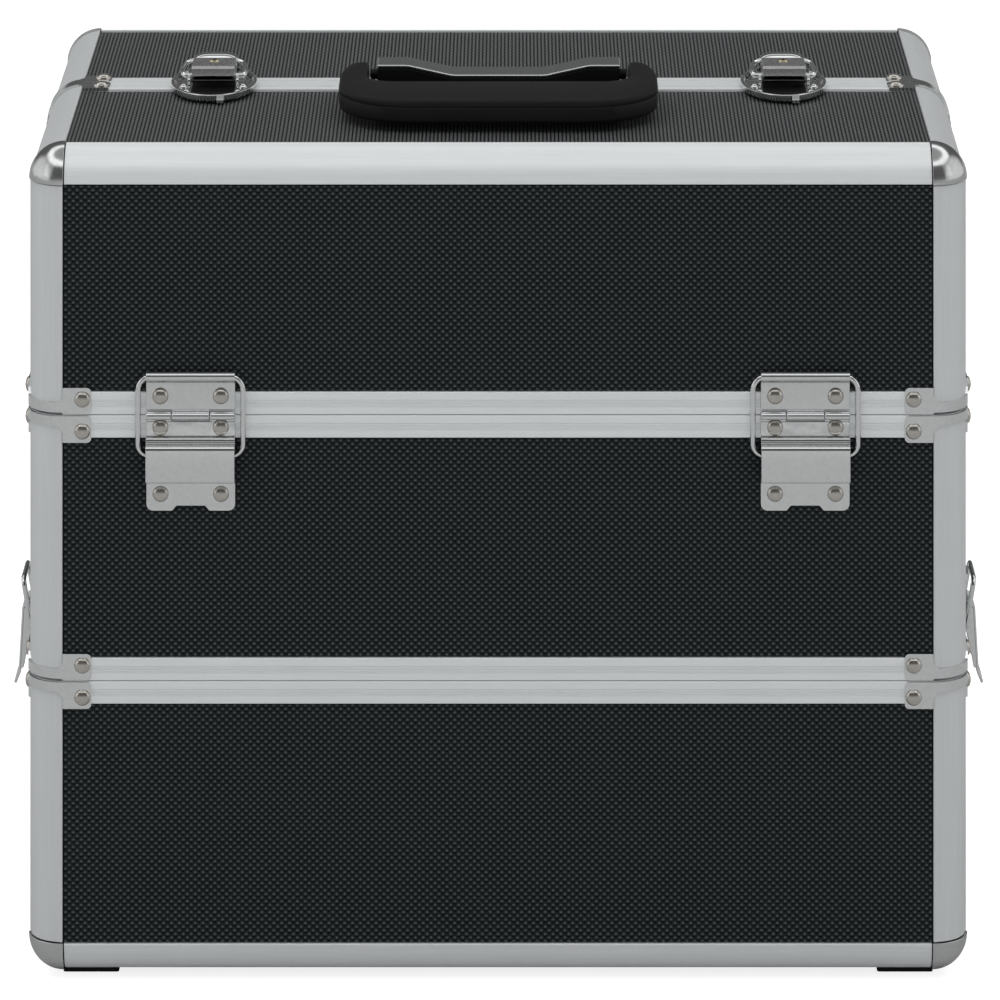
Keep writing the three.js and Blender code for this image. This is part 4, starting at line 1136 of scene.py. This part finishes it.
def side_latch(side, x):
    put = fittings(f"{side}_side_latch_", lambda shape: flipped(shape, x, 1))

    def heads(*heights):
        return [rivet((HALF_WIDTH + PLATE_FRONT, y, LOWER_SEAM + height), (1, 0, 0))
                for height in heights for y in (-12.6, 12.6)]

    put("base_plate", "bottom_case", CHROME, [side_plate(-31, -1)] + side_ears(), "base", bevel=0.2)
    put("base_rivets", "bottom_case", NICKEL, heads(-26.5, -7))
    put("hook_plate", "middle_case", CHROME, [side_plate(1, 11.5), side_hook()], "keeper", bevel=0.2)
    put("hook_rivets", "middle_case", NICKEL, heads(6.2))
    put("lever_channel", f"{side}_side_lever", CHROME, side_lever(), "lever", bevel=0.18)
    put("wire_bail", f"{side}_side_bail", CHROME, [side_bail()], "bail")


# Handle -------------------------------------------------------------------------------------------------


def wave(lift):
    """The cover's wavy line as (x, z) points from right to left."""
    half, rise, dip = COVER_HALF, 12.3, 8.3
    points = [(half, rise), (37, rise), (19, dip), (-19, dip), (-37, rise), (-half, rise)]
    return [(p.x, TOP + p.y + lift) for p in bent(points, [0, 16, 16, 16, 16, 0], loop=False, steps=8)]


def grip():
    """Moulded grip: a soft-edged flat section swept round a three-sided loop.

    The outer side of each arm curves in to meet the inner side at the arm's end.
    """
    middle_z = (GRIP_LOW + GRIP_HIGH) / 2
    half_z = (GRIP_HIGH - GRIP_LOW) / 2
    shoulder = GRIP_BACK - SHOULDER
    lines = []
    for x, y, radius in ((GRIP_HALF, GRIP_FRONT, GRIP_ROUND), (GRIP_EYE, GRIP_FRONT + GRIP_BAR, EYE_ROUND)):
        corners = [(x, shoulder), (x, y), (-x, y), (-x, shoulder)]
        lines.append(bent(corners, [0, radius, radius, 0], loop=False, steps=14))
    outer, inner = lines
    for k in range(1, 25):
        t = math.pi / 2 * k / 24
        y = shoulder + SHOULDER * math.sin(t)
        reach = GRIP_EYE + 1.0 + (GRIP_HALF - GRIP_EYE - 1.0) * math.cos(t)
        for line, x in ((outer, reach), (inner, GRIP_EYE)):
            line.insert(0, Vector((x, y)))
            line.append(Vector((-x, y)))
    points = []
    for out, back in zip(outer, inner):
        centre, half = (out + back) / 2, (out - back) / 2
        width = max(half.length, 0.3)
        past = max(0.0, max(out.y, back.y) - (GRIP_BACK - half_z))
        tall = math.sqrt(max(0.01, half_z**2 - past**2))
        ease = min(1.7, width * 0.5, tall * 0.5)
        groove, lip = tall * 0.35, tall * 0.08
        corners = [(-width, -tall), (width - lip, -tall), (width, groove - lip), (width - 0.6 * lip, groove),
                   (width, groove + lip), (width, tall), (0, tall + 0.1), (-width, tall)]
        section = bent(corners, [ease, ease, 0, 0, 0, ease, width * 0.9, ease], steps=4)
        for a, h in section:
            spot = centre + half * (a / width)
            points.append(Vector((spot.x, spot.y, middle_z + h)))
    return skin(points, len(section), len(outer))


def handle():
    foundation = [(-COVER_HALF, TOP - 0.3), (COVER_HALF, TOP - 0.3)] + wave(0)
    piece("handle_base_block", "front_lid", "handle_plastic", INSERT_PLASTIC,
          [extrude("y", foundation, COVER_FRONT, COVER_BACK)], ("handle_base",), bevel=0.4)
    strip = wave(1.5) + list(reversed(wave(0.3)))
    piece("handle_cover_strip", "front_lid", "chromed_steel", CHROME,
          [extrude("y", strip, COVER_FRONT, COVER_BACK)], ("handle_cover",), bevel=0.55, segments=3)
    piece("handle_grip_moulding", "grip", "handle_plastic", GRIP_PLASTIC, [grip()], ("handle_grip",))
    pin = lathe([(0, 0), (2.2, 0), (2.2, 3.0), (0, 3.0)], (COVER_HALF - 0.2, -17.5, TOP + 8.2), (1, 0, 0), 20)
    piece("handle_pins", "front_lid", "handle_plastic", INSERT_PLASTIC, both(pin))


# Trays --------------------------------------------------------------------------------------------------


def tray(end, level):
    """Open tray with four compartments: lipped wall, floor, dividers, mats on the right and its two pins."""
    node = f"{end}_{level}_tray"
    low, high = corners_of(node)
    half, middle_y = TRAY_HALF, (low.y + high.y) / 2

    def inset(distance, radius):
        return rounded((-half + distance, half - distance), (low.y + distance, high.y - distance), radius)

    outline, lip, inner = inset(0, 5), inset(0.7, 4.4), inset(TRAY_WALL, 3.6)
    levels = [(outline, low.z + 1.0), (outline, high.z - 0.7), (lip, high.z), (inner, high.z - 0.4),
              (inner, low.z + 1.2)]
    points = []
    for i in range(len(outline)):
        points += [Vector((ring[i].x, ring[i].y, height)) for ring, height in levels]
    wall = skin(points, len(levels), len(outline), loop=True)
    floor_plate = extrude("z", inset(0.4, 4.8), low.z, low.z + 2.0)
    dividers = [box((x - 0.8, x + 0.8), (low.y + 1, high.y - 1), (low.z + 1, high.z - 3))
                for x in TRAY_DIVIDERS]
    dividers.append(box((1 - half, -0.5), (middle_y - 0.8, middle_y + 0.8), (low.z + 1, high.z - 5)))
    piece(f"{node}_shell", node, "tray_plastic", TRAY_PLASTIC, [wall, floor_plate] + dividers, (node,),
          bevel=0.35)
    mats = [box((a + 1, b - 1), (low.y + 2.2, high.y - 2.2), (low.z + 1.9, low.z + 2.6))
            for a, b in ((0.8, 85.2), (86.8, half - 2))]
    cloth(f"{node}_mats", node, mats)
    pin = lathe([(0, -1), (2.1, -1), (2.1, 3.0), (3.2, 3.1), (2.9, 3.9), (1.6, 4.4), (0, 4.5)],
                (half - 0.5, *tray_pin(level, end)), (1, 0, 0), 18)
    piece(f"{node}_pins", node, "chromed_steel", NICKEL, both(pin))


def arm_line(end):
    """Foot and tip of the lifting arm as (y, z), read from its box."""
    low, high = corners_of(f"{end}_right_tray_arm")
    near, far = low.y + ARM_INSET, high.y - ARM_INSET
    if end == "rear":
        near, far = far, near
    return Vector((near, low.z + ARM_INSET)), Vector((far, high.z - ARM_INSET))


def tray_pin(level, end):
    foot, tip = arm_line(end)
    return tuple(foot.lerp(tip, LOWER_TRAY_SHARE if level == "lower" else 1.0))


def tray_arm(end, side, x):
    foot, tip = arm_line(end)
    along = (tip - foot).normalized()
    across = Vector((-along.y, along.x))
    outline = []
    for centre, start in ((tip, -90), (foot, 90)):
        for k in range(11):
            t = math.radians(start + 18 * k)
            outline.append(centre + along * (ARM_HALF * math.cos(t)) + across * (ARM_HALF * math.sin(t)))
    low, high = edge(f"{end}_right_tray_arm", 0, "x"), edge(f"{end}_right_tray_arm", 1, "x")
    bar = extrude("x", outline, low, high)
    piece(f"{end}_{side}_lifting_arm", f"{end}_arms", "chromed_steel", CHROME, [flipped(bar, x, 1)],
          (f"{end}_{side}_tray_arm",), bevel=0.3)
    pivot = lathe([(0, -1.5), (2.1, -1.5), (2.1, 1.6), (0, 1.6)], (high - 0.6, foot.x, foot.y), (1, 0, 0), 18)
    piece(f"{end}_{side}_arm_pivot", "middle_case", "chromed_steel", NICKEL, [flipped(pivot, x, 1)])


# Assembly -----------------------------------------------------------------------------------------------

bottom_case()
middle_case()
for end, flip in ENDS.items():
    lid(end, flip)
    for side, x in SIDES.items():
        hinge(end, side, x, flip)
        tray_arm(end, side, x)
    for level in ("lower", "upper"):
        tray(end, level)
for side, x in SIDES.items():
    top_latch(side, x)
    side_latch(side, x)
handle()


# Stage --------------------------------------------------------------------------------------------------

VIEW_SIDE = 0.0067
VIEW_DISTANCE = 2.364
VIEW_RISE = 0.5637
LENS = 216.0
SHIFT = (-0.015, -1.78)
FLOOR_GLOW = 0.8
FLOOR_RADIUS = 6.0
FLOOR_SIDES = 48


def white_room():
    """White surroundings for the camera; soft boxes and a dim camera side for reflections."""
    world = bpy.data.worlds.new("studio")
    bpy.context.scene.world = world
    world.use_nodes = True
    world.node_tree.nodes.clear()
    add = Nodes(world.node_tree).add

    def ramp(value, stops):
        node = add("ShaderNodeValToRGB", {"Fac": value})
        while len(node.color_ramp.elements) < len(stops):
            node.color_ramp.elements.new(0.5)
        for element, (position, level) in zip(node.color_ramp.elements, stops):
            element.position = position
            element.color = (level, level, level, 1)
        return node.outputs["Color"]

    way = add("ShaderNodeSeparateXYZ", {0: add("ShaderNodeTexCoord").outputs["Generated"]}).outputs
    rise = ramp(way["Z"], [(0.0, 0.34), (0.08, 0.08), (0.68, 0.08), (0.75, 1.0), (0.86, 1.0), (0.90, 0.26)])
    sideways = add("ShaderNodeMath", {0: way["X"]}, operation="ABSOLUTE").outputs[0]
    flank = ramp(sideways, [(0.62, 0.0), (0.80, 0.5), (1.0, 0.6)])
    level = add("ShaderNodeVectorMath", {0: rise, 1: flank}, operation="MAXIMUM").outputs[0]
    seen = add("ShaderNodeLightPath").outputs["Is Camera Ray"]
    room = add("ShaderNodeBackground", {"Color": level, "Strength": 1.5})
    white = add("ShaderNodeBackground", {"Color": (1, 1, 1, 1), "Strength": 1.0})
    mix = add("ShaderNodeMixShader", {0: seen, 1: room.outputs[0], 2: white.outputs[0]})
    add("ShaderNodeOutputWorld", {0: mix.outputs[0]})


def floor():
    mesh = bpy.data.meshes.new("floor")
    outline = [(x, y, 0.0) for x, y in circle(0, 0, FLOOR_RADIUS, FLOOR_SIDES)]
    mesh.from_pydata(outline, [], [tuple(range(FLOOR_SIDES))])
    obj = add_object("floor", mesh)
    s = Shader("pale_floor")
    speckle = s.span(s.noise(3, 2), 0.53, 0.56)
    colour = s.add("ShaderNodeCombineColor", {0: speckle, 1: speckle, 2: speckle}).outputs[0]
    seen = s.add("ShaderNodeLightPath").outputs["Is Camera Ray"]
    s.set(Base_Color=colour, Roughness=0.9, Specular_IOR_Level=0.1, Emission_Color=(1, 1, 1, 1),
          Emission_Strength=s.math("MULTIPLY", seen, FLOOR_GLOW))
    mesh.materials.append(s.material)


def soft_box(name, place, target, size, power, mirrored=True):
    """Rectangular light; one that isn't mirrored lights surfaces without showing in the chrome."""
    light = bpy.data.lights.new(name, "AREA")
    light.shape = "RECTANGLE"
    light.size, light.size_y = size
    light.energy = power
    obj = add_object(name, light)
    obj.location = place
    obj.rotation_euler = (Vector(target) - Vector(place)).to_track_quat("-Z", "Y").to_euler()
    obj.visible_camera = False
    obj.visible_glossy = mirrored


def camera():
    """Level camera high above the case, with the view shifted down onto it as a view camera does.

    The shift applies only at this viewpoint, so that the camera looks straight ahead from anywhere else.
    """
    data = bpy.data.cameras.new("camera")
    data.lens = LENS
    data.sensor_width = 36.0
    data.clip_end = 40.0
    obj = add_object("camera", data)
    obj.location = Vector((VIEW_SIDE, -HALF_DEPTH * MM - VIEW_DISTANCE, TOP * MM + VIEW_RISE))
    obj.rotation_euler = (math.pi / 2, 0, 0)
    mark = add_object("viewpoint", None)
    mark.location = obj.location
    for path, value in zip(("shift_x", "shift_y"), SHIFT):
        driver = data.driver_add(path).driver
        driver.type = "SCRIPTED"
        away = driver.variables.new()
        away.name = "away"
        away.type = "LOC_DIFF"
        away.targets[0].id = obj
        away.targets[1].id = mark
        driver.expression = f"{value} if away < 0.001 else 0.0"
    bpy.context.scene.camera = obj


white_room()
floor()
soft_box("over", (-0.3, -0.6, 2.4), (0, 0, 0.2), (2.4, 2.0), 13.0, mirrored=False)
soft_box("front", (0.0, -2.8, 0.9), (0, 0, 0.2), (2.4, 1.4), 14.0, mirrored=False)
soft_box("left", (-2.2, -1.4, 1.5), (0, 0, 0.2), (1.2, 1.8), 2.0)
soft_box("right", (2.2, -1.4, 1.5), (0, 0, 0.2), (1.2, 1.8), 1.6)
camera()
bpy.context.scene.view_settings.view_transform = "Standard"
